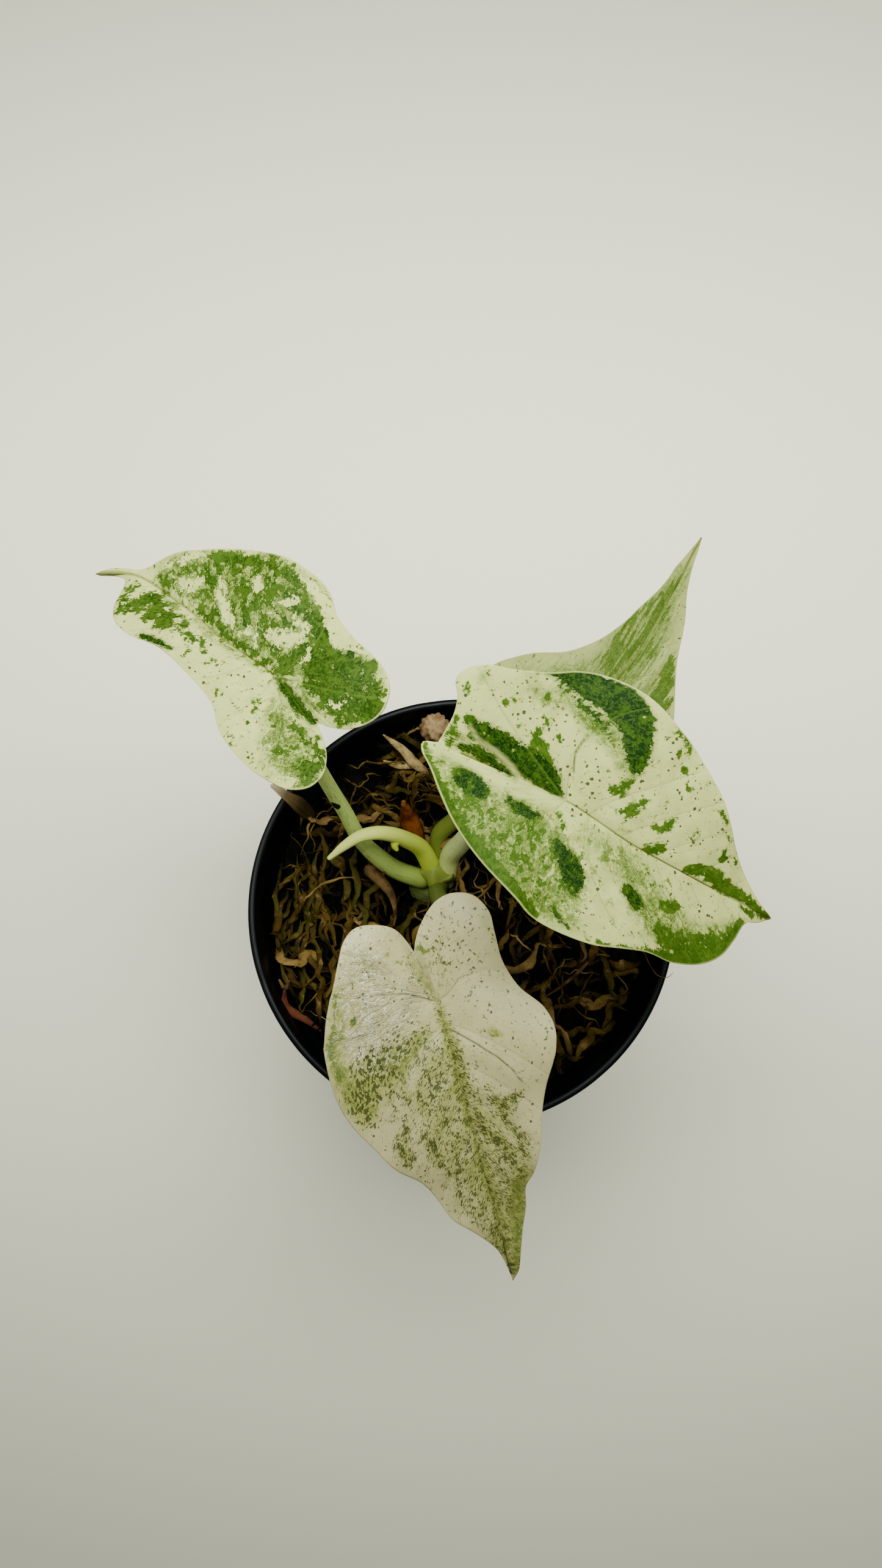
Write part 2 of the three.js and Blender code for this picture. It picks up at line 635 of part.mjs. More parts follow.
function mossFill() {
  const random = randomFrom(STRANDS.seed);
  let solid = solidOf(mossBody());
  for (let i = 0; i < STRANDS.count; i++) solid = solid.add(solidOf(mossStrand(i, random)));
  const holes = [
    stemSolid(GAP),
    ...Object.keys(PETIOLES).map((name) => solidOf(petiole(name, GAP))),
    shoot(GAP),
    solidOf(sheath(GAP)),
    paleStrand(GAP),
    mossHead(GAP),
    solidOf(dryScrap(GAP)),
  ];
  for (const hole of holes) solid = solid.subtract(hole);
  return geometryOf(mainBody(solid));
}

const finish = (color, roughness) => new THREE.MeshStandardMaterial({ color, roughness, metalness: 0 });
const FINISHES = {
  plastic: finish(0x15171a, 0.5),
  moss: finish(0x5b4a2c, 0.95),
  stem: finish(0x7d8a4a, 0.6),
  stalk: finish(0xb9c48f, 0.5),
  blade: finish(0xc9cfa4, 0.45),
  shoot: finish(0xc3cf6a, 0.45),
  sheath: finish(0x6d3a1e, 0.8),
  straw: finish(0xb59a78, 0.9),
};

const plant = new THREE.Group();
const addPiece = (name, geometry, material) => {
  geometry.computeVertexNormals();
  const mesh = new THREE.Mesh(geometry, material);
  mesh.name = name;
  plant.add(mesh);
};

addPiece("pot", potGeometry(), FINISHES.plastic);
addPiece("moss_fill", mossFill(), FINISHES.moss);
addPiece("stem", geometryOf(stemSolid()), FINISHES.stem);
for (const name of Object.keys(LEAVES)) {
  addPiece(`petiole_${name}`, petiole(name), FINISHES.stalk);
  addPiece(`leaf_${name}`, blades[name].geometry(), FINISHES.blade);
}
addPiece("new_shoot", geometryOf(shoot()), FINISHES.shoot);
addPiece("brown_sheath", sheath(), FINISHES.sheath);
addPiece("pale_strand", geometryOf(paleStrand()), FINISHES.straw);
addPiece("moss_head", geometryOf(mossHead()), FINISHES.straw);
addPiece("dry_scrap", dryScrap(), FINISHES.sheath);

export default plant;
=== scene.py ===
"""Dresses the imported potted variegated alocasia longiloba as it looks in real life.

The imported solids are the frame. Each class below holds the sizes of one sub-assembly in millimetres,
builds its finer meshes in the place of the solids, and gives them their finishes: the four
variegated blades, their stalks, the new shoot, the bed of sphagnum moss and the nursery pot.
"""

import logging
import math
from collections.abc import Sequence
from dataclasses import dataclass, field, replace
from enum import Enum

import bpy
import numpy as np
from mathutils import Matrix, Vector


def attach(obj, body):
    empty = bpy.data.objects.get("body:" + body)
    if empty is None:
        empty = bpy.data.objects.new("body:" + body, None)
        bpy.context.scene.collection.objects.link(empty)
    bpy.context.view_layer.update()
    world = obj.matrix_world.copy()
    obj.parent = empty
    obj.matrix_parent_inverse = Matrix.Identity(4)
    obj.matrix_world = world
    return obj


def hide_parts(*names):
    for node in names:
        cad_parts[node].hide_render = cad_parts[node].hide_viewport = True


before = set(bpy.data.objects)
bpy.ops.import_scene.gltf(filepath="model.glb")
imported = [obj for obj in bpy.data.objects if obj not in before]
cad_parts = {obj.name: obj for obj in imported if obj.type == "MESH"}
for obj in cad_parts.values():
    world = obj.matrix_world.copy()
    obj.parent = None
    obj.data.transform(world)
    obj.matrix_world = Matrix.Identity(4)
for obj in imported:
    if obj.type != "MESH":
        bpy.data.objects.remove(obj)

log = logging.getLogger("potted_plant")

MM = 0.001
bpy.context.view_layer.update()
Colour = tuple[float, float, float]
Point = tuple[float, float, float]
Array = np.ndarray
Socket = bpy.types.NodeSocket


class Value:
    """A number that varies over a surface: one output socket, with arithmetic that adds Math nodes."""

    def __init__(self, nodes: "Nodes", socket: Socket) -> None:
        """Wraps a socket of this tree."""
        self.nodes = nodes
        self.socket = socket

    def math(self, operation: str, *others: "Value | float") -> "Value":
        """Adds a Math node that has this value as its first operand."""
        return self.nodes.math(operation, self, *others)

    def __add__(self, other: "Value | float") -> "Value":
        """Gives self + other."""
        return self.math("ADD", other)

    __radd__ = __add__

    def __sub__(self, other: "Value | float") -> "Value":
        """Gives self - other."""
        return self.math("SUBTRACT", other)

    def __rsub__(self, other: float) -> "Value":
        """Gives other - self."""
        return self.nodes.math("SUBTRACT", other, self)

    def __mul__(self, other: "Value | float") -> "Value":
        """Gives self * other."""
        return self.math("MULTIPLY", other)

    __rmul__ = __mul__

    def __truediv__(self, other: "Value | float") -> "Value":
        """Gives self / other."""
        return self.math("DIVIDE", other)

    def __rtruediv__(self, other: float) -> "Value":
        """Gives other / self."""
        return self.nodes.math("DIVIDE", other, self)

    def off(self, middle: float = 0.5) -> "Value":
        """Gives how far the value is from this middle."""
        return (self - middle).math("ABSOLUTE")

    def step(self, low: float, high: float) -> "Value":
        """Rises smoothly from 0 to 1 as the value goes from low to high, or falls where low is the larger."""
        values = {"Value": self, "From Min": low, "From Max": high}
        return self.nodes.value("ShaderNodeMapRange", {"interpolation_type": "SMOOTHSTEP"}, values, "Result")


class Nodes:
    """Places nodes in one shader or geometry tree and joins their sockets."""

    def __init__(self, tree: bpy.types.NodeTree) -> None:
        """Takes the tree to build in."""
        self.tree = tree

    def add(self, kind: str, settings: dict | None = None, values: dict | None = None) -> bpy.types.Node:
        """Adds a node.

        Args:
            kind: the node's type.
            settings: its properties, which are set first; "stops" gives a ramp's (position, colour) pairs.
            values: for each input socket, by name, a number, a colour, a socket or a Value.

        Returns:
            The node.
        """
        node = self.tree.nodes.new(kind)
        for key, setting in (settings or {}).items():
            if key == "stops":
                self._set_stops(node.color_ramp, setting)
            else:
                setattr(node, key, setting)
        for key, given in (values or {}).items():
            socket = next(s for s in node.inputs if s.enabled and key in (s.name, s.identifier))
            given = given.socket if isinstance(given, Value) else given
            if isinstance(given, Socket):
                self.tree.links.new(given, socket)
            else:
                socket.default_value = (*given, 1.0) if socket.type == "RGBA" else given
        return node

    @staticmethod
    def _set_stops(ramp: bpy.types.ColorRamp, stops: Sequence[tuple[float, Colour]]) -> None:
        """Gives a colour ramp its stops, in order."""
        while len(ramp.elements) > 1:
            ramp.elements.remove(ramp.elements[-1])
        for i, (position, colour) in enumerate(stops):
            element = ramp.elements[0] if i == 0 else ramp.elements.new(position)
            element.position = position
            element.color = (*colour, 1.0)

    def out(self, node: bpy.types.Node, name: str) -> Socket:
        """Gives a node's output socket that is in use and has this name."""
        return next(s for s in node.outputs if s.enabled and s.name == name)

    def socket(self, kind: str, settings: dict | None, values: dict | None, name: str) -> Socket:
        """Adds a node and gives its output of this name."""
        return self.out(self.add(kind, settings, values), name)

    def value(self, kind: str, settings: dict | None, values: dict | None, name: str) -> Value:
        """Adds a node and wraps its output of this name."""
        return Value(self, self.socket(kind, settings, values, name))

    def math(self, operation: str, *operands: Value | float) -> Value:
        """Adds a Math node on up to three operands."""
        values = dict(zip(("Value", "Value_001", "Value_002"), operands))
        return self.value("ShaderNodeMath", {"operation": operation}, values, "Value")

    def larger(self, a: Value, b: Value | float) -> Value:
        """Gives the larger of two values."""
        return self.math("MAXIMUM", a, b)

    def mix(self, factor: Value | float, a: Colour | Socket, b: Colour | Socket) -> Socket:
        """Lays colour b over colour a, as much as the factor says."""
        values = {"Factor": factor, "A": a, "B": b}
        return self.socket("ShaderNodeMix", {"data_type": "RGBA", "clamp_factor": True}, values, "Result")

    def ramp(self, value: Value, *stops: tuple[float, Colour]) -> Socket:
        """Turns a value into a colour between these stops."""
        return self.socket("ShaderNodeValToRGB", {"stops": stops}, {"Fac": value}, "Color")

    def parts(self, vector: Socket) -> list[Value]:
        """Splits a vector into its three values."""
        node = self.add("ShaderNodeSeparateXYZ", None, {"Vector": vector})
        return [Value(self, node.outputs[axis]) for axis in "XYZ"]

    def vector(self, x: Value | float, y: Value | float, z: Value | float = 0.0) -> Socket:
        """Joins three values into a vector."""
        return self.socket("ShaderNodeCombineXYZ", None, {"X": x, "Y": y, "Z": z}, "Vector")

    def stretch(self, vector: Socket, by: Point, shift: Point = (0, 0, 0)) -> Socket:
        """Scales a vector on each axis, then shifts it."""
        values = {"Vector": vector, "Vector_001": by, "Vector_002": shift}
        return self.socket("ShaderNodeVectorMath", {"operation": "MULTIPLY_ADD"}, values, "Vector")

    def distance(self, a: Socket, b: Socket | Point) -> Value:
        """Gives the distance between two places."""
        values = {"Vector": a, "Vector_001": b}
        return self.value("ShaderNodeVectorMath", {"operation": "DISTANCE"}, values, "Value")

    def noise(self, vector: Socket, scale: float, detail: float = 2.0, rough: float = 0.5,
              twist: float = 0.0) -> Value:
        """Adds a noise texture and gives its value, which is about 0.5 on average."""
        values = {"Vector": vector, "Scale": scale, "Detail": detail, "Roughness": rough, "Distortion": twist}
        return self.value("ShaderNodeTexNoise", None, values, "Fac")

    def stored(self, name: str, output: str = "Vector") -> Socket:
        """Reads what the mesh stores under this name, a vector or, with the output Fac, a number."""
        return self.socket("ShaderNodeAttribute", {"attribute_name": name}, None, output)

    def place(self) -> Socket:
        """Gives the object coordinates, in metres."""
        return self.socket("ShaderNodeTexCoord", None, None, "Object")

    def bump(self, height: Value, depth: float) -> Socket:
        """Gives a normal from a height of 0 to 1 that is this many millimetres deep."""
        values = {"Height": height, "Strength": 1.0, "Distance": depth * MM}
        return self.socket("ShaderNodeBump", None, values, "Normal")


class Finish:
    """The look of a surface, which each kind of finish paints in its own way."""

    def paint(self, nodes: Nodes) -> dict:
        """Gives the values and links of the shader's inputs."""
        raise NotImplementedError

    def material(self, name: str) -> bpy.types.Material:
        """Makes a principled material with this look.

        Args:
            name: the material's name.

        Returns:
            The material.
        """
        material = bpy.data.materials.new(name)
        material.use_nodes = True
        tree = material.node_tree
        tree.nodes.clear()
        nodes = Nodes(tree)
        shader = nodes.add("ShaderNodeBsdfPrincipled", None, self.paint(nodes))
        output = nodes.add("ShaderNodeOutputMaterial")
        tree.links.new(shader.outputs["BSDF"], output.inputs["Surface"])
        return material


def catmull(points: Sequence[Sequence[float]], per_span: int) -> Array:
    """Points along a centripetal Catmull-Rom curve, with per_span steps between two given points."""
    given = np.asarray(points, float)
    given = np.vstack([2 * given[0] - given[1], given, 2 * given[-1] - given[-2]])
    lengths = np.maximum(np.linalg.norm(np.diff(given, axis=0), axis=1) ** 0.5, 1e-4)
    x = np.linspace(0, 1, per_span, endpoint=False)[:, None]
    spans = []
    for i in range(len(given) - 3):
        a, b, c, d = given[i : i + 4]
        before, here, after = lengths[i : i + 3]
        start = ((b - a) / before - (c - a) / (before + here) + (c - b) / here) * here
        end = ((c - b) / here - (d - b) / (here + after) + (d - c) / after) * here
        bend = -3 * b + 3 * c - 2 * start - end
        turn = 2 * b - 2 * c + start + end
        spans.append(b + start * x + bend * x**2 + turn * x**3)
    return np.vstack([*spans, given[-2][None]])


def arc_lengths(points: Array) -> Array:
    """The distance along a line of points, from its first one."""
    return np.r_[0, np.cumsum(np.linalg.norm(np.diff(points, axis=0), axis=1))]


def smooth_line(points: Sequence[Sequence[float]], count: int) -> Array:
    """This many evenly spaced points on a smooth curve through the given ones."""
    dense = catmull(points, 60)
    arc = arc_lengths(dense)
    wanted = np.linspace(0, arc[-1], count)
    return np.stack([np.interp(wanted, arc, column) for column in dense.T], -1)


def along(values: Sequence[float], t: Array) -> Array:
    """Values at t, from 0 to 1, on a smooth line through evenly spaced ones."""
    given = np.asarray(values, float)
    last = len(given) - 1
    place = np.clip(t, 0, 1) * last
    i = np.minimum(place.astype(int), last - 1)
    x = place - i
    a, b, c, d = (given[np.clip(i + k, 0, last)] for k in (-1, 0, 1, 2))
    return b + 0.5 * x * (c - a + x * (2 * a - 5 * b + 4 * c - d + x * (3 * b - a - 3 * c + d)))


def unit(vectors: Array) -> Array:
    """Vectors of length 1 along the given ones."""
    return vectors / np.maximum(np.linalg.norm(vectors, axis=-1, keepdims=True), 1e-12)


def ring_faces(rings: int, sides: int) -> list[list[int]]:
    """The faces of a closed shell.

    Args:
        rings: how many rings of vertices it has, one after the other.
        sides: how many vertices each ring has.

    Returns:
        The faces between the rings, then the fan from the first ring to the vertex after the last
        ring, then the fan from the last ring to the vertex after that.
    """
    i, j = np.meshgrid(np.arange(rings - 1), np.arange(sides), indexing="ij")
    k = (j + 1) % sides
    quads = np.stack([i * sides + j, i * sides + k, (i + 1) * sides + k, (i + 1) * sides + j], -1)
    start, last = rings * sides, (rings - 1) * sides
    faces = quads.reshape(-1, 4).tolist()
    faces += [[start, (q + 1) % sides, q] for q in range(sides)]
    faces += [[last + q, last + (q + 1) % sides, start + 1] for q in range(sides)]
    return faces


def lathe(profile: Sequence[tuple[float, float]], sides: int) -> tuple[Array, list[list[int]]]:
    """Turns a closed shell round the upright axis.

    Args:
        profile: its section as (radius, height), with both ends on the axis.
        sides: how many corners a ring has.

    Returns:
        Its vertices and its faces, in the order of ring_faces.
    """
    section = np.asarray(profile, float)
    radii, heights = section[1:-1, :1], section[1:-1, 1:]
    turns = np.linspace(0, math.tau, sides, endpoint=False)
    rings = np.stack([radii * np.cos(turns), radii * np.sin(turns), np.repeat(heights, sides, 1)], -1)
    poles = [(0, 0, section[0, 1]), (0, 0, section[-1, 1])]
    return np.vstack([rings.reshape(-1, 3), poles]), ring_faces(len(radii), sides)


def make_piece(name: str, points: Array, faces: Sequence[Sequence[int]],
               *materials: bpy.types.Material) -> bpy.types.Object:
    """Makes a smooth mesh object at the origin.

    Args:
        name: the object's name.
        points: its vertices in millimetres.
        faces: the vertices of each face.
        materials: its material slots.

    Returns:
        The object.
    """
    mesh = bpy.data.meshes.new(name)
    mesh.from_pydata((np.asarray(points) * MM).tolist(), [], [list(map(int, f)) for f in faces])
    mesh.validate()
    for material in materials:
        mesh.materials.append(material)
    mesh.polygons.foreach_set("use_smooth", [True] * len(mesh.polygons))
    piece = bpy.data.objects.new(name, mesh)
    bpy.context.scene.collection.objects.link(piece)
    return piece


def bake(piece: bpy.types.Object) -> None:
    """Turns a piece with modifiers into a plain mesh."""
    graph = bpy.context.evaluated_depsgraph_get()
    mesh = bpy.data.meshes.new_from_object(piece.evaluated_get(graph), depsgraph=graph)
    piece.modifiers.clear()
    piece.data = mesh


def declare(piece: bpy.types.Object, slot: str, *nodes: str) -> None:
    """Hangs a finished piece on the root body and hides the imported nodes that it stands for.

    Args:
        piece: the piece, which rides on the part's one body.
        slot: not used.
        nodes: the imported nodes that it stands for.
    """
    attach(piece, "root")
    if nodes:
        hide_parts(*nodes)
    log.info("%s: %d faces, for %s", piece.name, len(piece.data.polygons), ", ".join(nodes) or "no node")


class Sweep:
    """A closed tube with domed ends along a smooth line, with its length and its turn as UV map."""

    def __init__(self, route: Sequence[Point], radii: Sequence[float], steps: int = 60, sides: int = 20,
                 flat: float = 1.0, lobes: int = 0, lobe_depth: float = 0.0) -> None:
        """Works out the tube's vertices, faces and map.

        Args:
            route: the points of its middle line.
            radii: its radius at evenly spaced places.
            steps: how many spans it has along its length.
            sides: how many corners a ring has.
            flat: how much its section is squeezed across.
            lobes: how many ridges run along it.
            lobe_depth: how high they are, as a share of the radius.
        """
        line = smooth_line(route, steps + 1)
        lengths = arc_lengths(line)
        share = np.linspace(0, 1, steps + 1)
        radius = along(radii, share)
        for end in (share, 1 - share):
            near = np.clip(end * lengths[-1] / np.maximum(radius, 0.05), 0, 1)
            radius = radius * np.sqrt(np.clip(1 - (1 - near) ** 2, 0.02, 1))
        tangents = unit(np.gradient(line, axis=0))
        normals = [unit(np.cross(tangents[0], (0.31, 0.2, 0.93)))]
        for tangent in tangents:
            normals.append(unit(normals[-1] - tangent * np.dot(normals[-1], tangent)))
        normals = np.array(normals[1:])
        turn = np.linspace(0, math.tau, sides, endpoint=False)
        reach = radius[:, None] * (1 + lobe_depth * np.cos(lobes * turn))
        rings = line[:, None] + normals[:, None] * (reach * np.cos(turn))[..., None]
        rings += np.cross(tangents, normals)[:, None] * (reach * np.sin(turn) * flat)[..., None]
        self.points = np.vstack([rings.reshape(-1, 3), line[0], line[-1]])
        self.faces = ring_faces(steps + 1, sides)
        i, j = np.meshgrid(np.arange(steps), np.arange(sides), indexing="ij")
        corners = ((i, j), (i, j + 1), (i + 1, j + 1), (i + 1, j))
        body = np.stack([np.stack([lengths[a], b / sides], -1) for a, b in corners], -2)
        ends = np.repeat([[0, 0], [lengths[-1], 0]], 3 * sides, axis=0)
        self.map = np.vstack([body.reshape(-1, 2), ends])


def join_meshes(*meshes: tuple[Array, Sequence[Sequence[int]]]) -> tuple[Array, list[list[int]]]:
    """Puts the vertices and faces of several meshes into one."""
    points, faces, shift = [], [], 0
    for some_points, some_faces in meshes:
        points.append(some_points)
        faces += [[v + shift for v in face] for face in some_faces]
        shift += len(some_points)
    return np.vstack(points), faces


def join_sweeps(name: str, *parts: tuple[Sweep, bpy.types.Material]) -> bpy.types.Object:
    """Makes one piece of several tubes, with the UV map "stalk".

    Args:
        name: the piece's name.
        parts: its tubes, each with its material.

    Returns:
        The piece.
    """
    slots = list(dict.fromkeys(material for _, material in parts))
    piece = make_piece(name, *join_meshes(*((sweep.points, sweep.faces) for sweep, _ in parts)), *slots)
    indices = [slots.index(material) for sweep, material in parts for _ in sweep.faces]
    piece.data.polygons.foreach_set("material_index", indices)
    layer = piece.data.uv_layers.new(name="stalk")
    layer.data.foreach_set("uv", np.vstack([sweep.map for sweep, _ in parts]).ravel())
    return piece


class Tone(Enum):
    """What a stroke of marking does to the cream ground of a blade."""

    WASH = "pale green mist"
    MOTTLE = "fine olive grains"
    GREEN = "mid green, ragged at its edge"
    DARK = "dark green, ragged at its edge"
    CREAM = "cream over everything below"
    VEIN = "pale vein"
    LINE = "thin dark vein"
    # Its wrinkle ridges also get near-white glints painted into their colour: painted highlights.
    SHINE = "glossy, finely wrinkled skin"
    DOT = "black dot"


# What each vector that a blade's mesh stores holds, and the finish reads.
MARKS = {
    "ground_marks": (Tone.WASH, Tone.MOTTLE, Tone.GREEN),
    "strong_marks": (Tone.DARK, Tone.CREAM, Tone.VEIN),
    "fine_marks": (Tone.LINE, Tone.SHINE, Tone.DOT),
}


@dataclass(frozen=True)
class Stroke:
    """One marking on a blade: a chain of discs, each (s, w, radius) in millimetres along and across it."""

    tone: Tone
    path: Sequence[tuple[float, float, float]]
    strength: float = 1.0
    feather: float = 1.0

    def coverage(self, s: Array, w: Array) -> Array:
        """How much of the stroke lies on each point.

        Args:
            s: distances along the midrib from the stalk.
            w: signed distances across it.

        Returns:
            Values from 0 to its strength.
        """
        depth = np.full(s.shape, -1e3)
        chain = self.path if len(self.path) > 1 else (self.path[0], self.path[0])
        for (s0, w0, r0), (s1, w1, r1) in zip(chain, chain[1:]):
            ds, dw = s1 - s0, w1 - w0
            t = np.clip(((s - s0) * ds + (w - w0) * dw) / max(ds * ds + dw * dw, 1e-9), 0, 1)
            away = np.hypot(s - s0 - t * ds, w - w0 - t * dw)
            depth = np.maximum(depth, r0 + t * (r1 - r0) - away)
        return self.strength * np.clip(0.5 + depth / (2 * self.feather), 0, 1)


@dataclass(frozen=True)
class Half:
    """One half of a blade: its fold and curl in degrees from notch to tip, and its edge from tip to notch."""

    fold: tuple[float, ...]
    curl: tuple[float, ...]
    edge: tuple[tuple[float, float], ...]


@dataclass(frozen=True)
class Ripple:
    """The waving of a blade's margin."""

    height: float
    length: float
    phase: float


@dataclass(frozen=True)
class Vein:
    """A side vein: where it leaves the midrib, and how it leans and bends towards the tip."""

    start: float
    lean: float
    bend: float

    def at(self, w: Array) -> Array:
        """Its distance along the midrib at each distance across."""
        return self.start + self.lean * w + self.bend * w * w


SIDE_VEINS = (
    Vein(0, -9, 0),
    Vein(0, -2.0, 0.03),
    Vein(0, -0.55, 0.035),
    Vein(4.5, 0.35, 0.03),
    Vein(11, 0.65, 0.028),
    Vein(18, 0.85, 0.026),
    Vein(25.5, 1.0, 0.024),
    Vein(33, 1.15, 0.022),
    Vein(41, 1.3, 0.02),
)
# How far apart two side veins lie in the coordinates that flow along them.
FLOW_GAP = 6.0
# How finely a blade's mesh is cut from its middle to its margin, and along each half of its margin.
RINGS = 84
EDGE_STEPS = 140
# Near-white of the glints that are painted on the glossy wrinkles: a painted highlight.
PAINTED_GLINT = (0.92, 0.92, 0.84)
BLACK = (0.002, 0.002, 0.002)


@dataclass(frozen=True)
class BladeTones:
    """The colours of one blade."""

    cream: Colour = (0.52, 0.54, 0.170)
    blush: Colour = (0.41, 0.42, 0.125)
    pale: Colour = (0.165, 0.225, 0.040)
    leaf: Colour = (0.058, 0.110, 0.007)
    olive: Colour = (0.050, 0.066, 0.004)
    mid: Colour = (0.026, 0.066, 0.0015)
    dark: Colour = (0.0030, 0.022, 0.0004)
    fleck: Colour = (0.070, 0.125, 0.012)
    speck: Colour = (0.015, 0.024, 0.003)
    under: Colour = (0.20, 0.26, 0.09)


@dataclass(frozen=True)
class BladeFinish(Finish):
    """The variegated skin of a blade, read from the markings stored in its mesh.

    shift moves the noises, blotch is the size of the large one, and tear says how far it tears the
    greens. outlined, streaky, flecks, specks, veins and rib say how strongly each of those shows.
    lengthwise streaks run along the midrib instead of the side veins.
    """

    tones: BladeTones = field(default_factory=BladeTones)
    shift: float = 0.0
    rib_width: float = 0.22
    specks: float = 0.5
    gloss: float = 0.5
    specular: float = 0.05
    crinkle: float = 0.10
    veins: float = 0.22
    outlined: float = 0.5
    streaky: float = 0.3
    flecks: float = 0.45
    rib: float = 0.6
    blotch: float = 0.80
    tear: float = 2.7
    lengthwise: bool = False
    underside: bool = False

    @staticmethod
    def _torn(coverage: Value, noise: Value, reach: float, soft: float) -> Value:
        """Where a marking shows.

        Args:
            coverage: how much of the marking lies here, half at its border.
            noise: what tears its border and opens its weak parts.
            reach: how far the noise moves the border.
            soft: how soft the border stays.

        Returns:
            A mask from 0 to 1.
        """
        return (coverage + (noise - 0.5) * reach).step(0.5 - soft, 0.5 + soft)

    def paint(self, nodes: Nodes) -> dict:
        """Builds the colours and the relief of the skin, each marking over the ones before, then painted
        glints.
        """
        tones, torn = self.tones, self._torn
        plan = nodes.stretch(nodes.stored("plan"), (1, 1, 1), (self.shift, self.shift * 0.7, 0))
        flow = nodes.stretch(nodes.stored("flow"), (1, 1, 1), (self.shift, 0, 0))
        wash, mottle, green, dark, cream, pale_vein, line, shine, dot = (
            value for name in MARKS for value in nodes.parts(nodes.stored(name)))
        gap, rim, across = nodes.parts(nodes.stored("build"))
        place = nodes.parts(nodes.stored("flow"))[1] / FLOW_GAP

        lobes = nodes.noise(plan, self.blotch, 5, 0.68, 0.3)
        marble = nodes.noise(plan, 1.0, 3, 0.6, 0.9).off()
        if self.lengthwise:
            drawn = nodes.stretch(plan, (0.10, 0.95, 1))
        else:
            drawn = nodes.stretch(flow, (0.22, 0.62, 1))
        rays = nodes.noise(drawn, 1.0, 4, 0.62)
        grain = nodes.noise(nodes.stretch(flow, (1.5, 3.9, 1)), 1.0, 3, 0.6, 0.3)
        clouds = nodes.noise(plan, 0.22, 3, 0.6)
        fine = nodes.noise(plan, 3.1, 2, 0.6)
        mixed = lobes * (0.82 - self.streaky) + rays * self.streaky + grain * 0.18
        blots = nodes.noise(plan, 0.36, 5, 0.66, 0.4) * (0.9 - self.streaky)
        blots = blots + rays * self.streaky + grain * 0.1
        dash = grain.step(0.56, 0.66)
        kept = 1 - torn(cream, mixed, 5.2, 0.08)

        colour = nodes.mix(clouds.step(0.35, 0.7) * 0.7, tones.cream, tones.blush)
        mist = torn(wash * kept, rays * 0.55 + clouds * 0.45, 1.2, 0.30)
        colour = nodes.mix(mist * 0.92, colour, tones.pale)
        patch = torn(wash * kept * 0.64, blots, 3.4, 0.16) * mist
        colour = nodes.mix(patch * 0.88, colour, tones.leaf)
        colour = nodes.mix(dash * mist * 0.30, colour, tones.leaf)
        threads = nodes.larger(marble.step(0.045, 0.012), rays.off().step(0.030, 0.006)) * mist
        colour = nodes.mix(threads * (1 - patch * 0.6) * 0.8, colour, tones.cream)

        tinge = torn(mottle * kept, rays * 0.4 + clouds * 0.6, 1.2, 0.40)
        colour = nodes.mix(tinge * 0.65, colour, tones.pale)
        grains = torn(mottle * kept * 0.74, grain * 0.50 + lobes * 0.50, 5.2, 0.12)
        colour = nodes.mix(grains * 0.95, colour, tones.olive)

        green = green * kept
        halo = torn(green + 0.10, mixed, self.tear, 0.10)
        colour = nodes.mix(halo * 0.8, colour, tones.pale)
        leafy = torn(green, mixed, self.tear, 0.05)
        lit = (lobes * 0.5 + grain * 0.3 + clouds * 0.2).step(0.46, 0.57)
        colour = nodes.mix(leafy, colour, nodes.mix(lit, tones.mid, tones.leaf))
        border = leafy * (1 - torn(green - 0.16, mixed, self.tear, 0.08))
        colour = nodes.mix(border * self.outlined, colour, tones.mid)

        dark = dark * kept
        colour = nodes.mix(torn(dark + 0.20, mixed, 1.9, 0.28) * 0.55, colour, tones.leaf)
        deep = torn(dark, lobes * 0.62 + grain * 0.38, 2.3, 0.05)
        colour = nodes.mix(deep, colour, nodes.mix(lobes.step(0.48, 0.62), tones.dark, tones.mid))
        inked = nodes.larger(leafy, deep)
        islands = nodes.larger(marble.step(0.040, 0.012), dash)
        colour = nodes.mix(islands * inked * self.flecks, colour, tones.fleck)

        dots = nodes.add("ShaderNodeTexVoronoi", None, {"Vector": plan, "Scale": 0.95, "Randomness": 1.0})
        chance, size, _ = nodes.parts(nodes.out(dots, "Color"))
        ragged = Value(nodes, nodes.out(dots, "Distance")) + (fine - 0.5) * 0.5
        crowd = nodes.noise(plan, 0.24, 1, 0.5).step(0.44, 0.60) * self.specks
        spot = (ragged - size * 0.19).step(0.13, 0.08) * (chance + crowd).step(0.86, 0.88)
        colour = nodes.mix(spot * (1 - mist * 0.7) * (1 - inked) * 0.9, colour, tones.speck)

        from_vein = (place + 0.5).math("FRACT").off() * gap
        thin = from_vein.step(0.20, 0.03) * rim.step(0.3, 2.5)
        colour = nodes.mix(thin * inked * 0.5, colour, tones.fleck)
        colour = nodes.mix(thin * (1 - inked) * self.veins, colour, tones.speck)
        colour = nodes.mix(pale_vein * 0.9, colour, tones.cream)
        colour = nodes.mix(line.step(0.08, 0.45) * 0.75, colour, tones.speck)
        raised = across.step(self.rib_width * 2, self.rib_width * 0.6) * self.rib
        colour = nodes.mix(raised, colour, tones.olive)
        colour = nodes.mix(rim.step(0.40, 0.10) * 0.6, colour, tones.cream)
        colour = nodes.mix(dot.step(0.4, 0.6), colour, BLACK)
        if self.underside:
            colour = nodes.mix(0.5, colour, tones.under)

        wrinkle = nodes.noise(nodes.stretch(flow, (0.42, 1.7, 1)), 1.0, 4, 0.66, 0.9)
        # Painted highlights: near-white glints painted into the colour along the wrinkle ridges of the glossy
        # patch.
        painted_glint = wrinkle.off().step(0.034, 0.006) * shine * fine.step(0.42, 0.54)
        colour = nodes.mix(painted_glint * (1 - grains) * 0.8, colour, PAINTED_GLINT)
        height = from_vein.step(0.6, 0.0) * -0.4 + fine * 0.4 + grain * 0.4 + shine * wrinkle * 10
        return {
            "Base Color": colour,
            "Roughness": self.gloss - shine * (self.gloss - 0.12),
            "Specular IOR Level": self.specular,
            "Normal": nodes.bump(height, self.crinkle),
        }


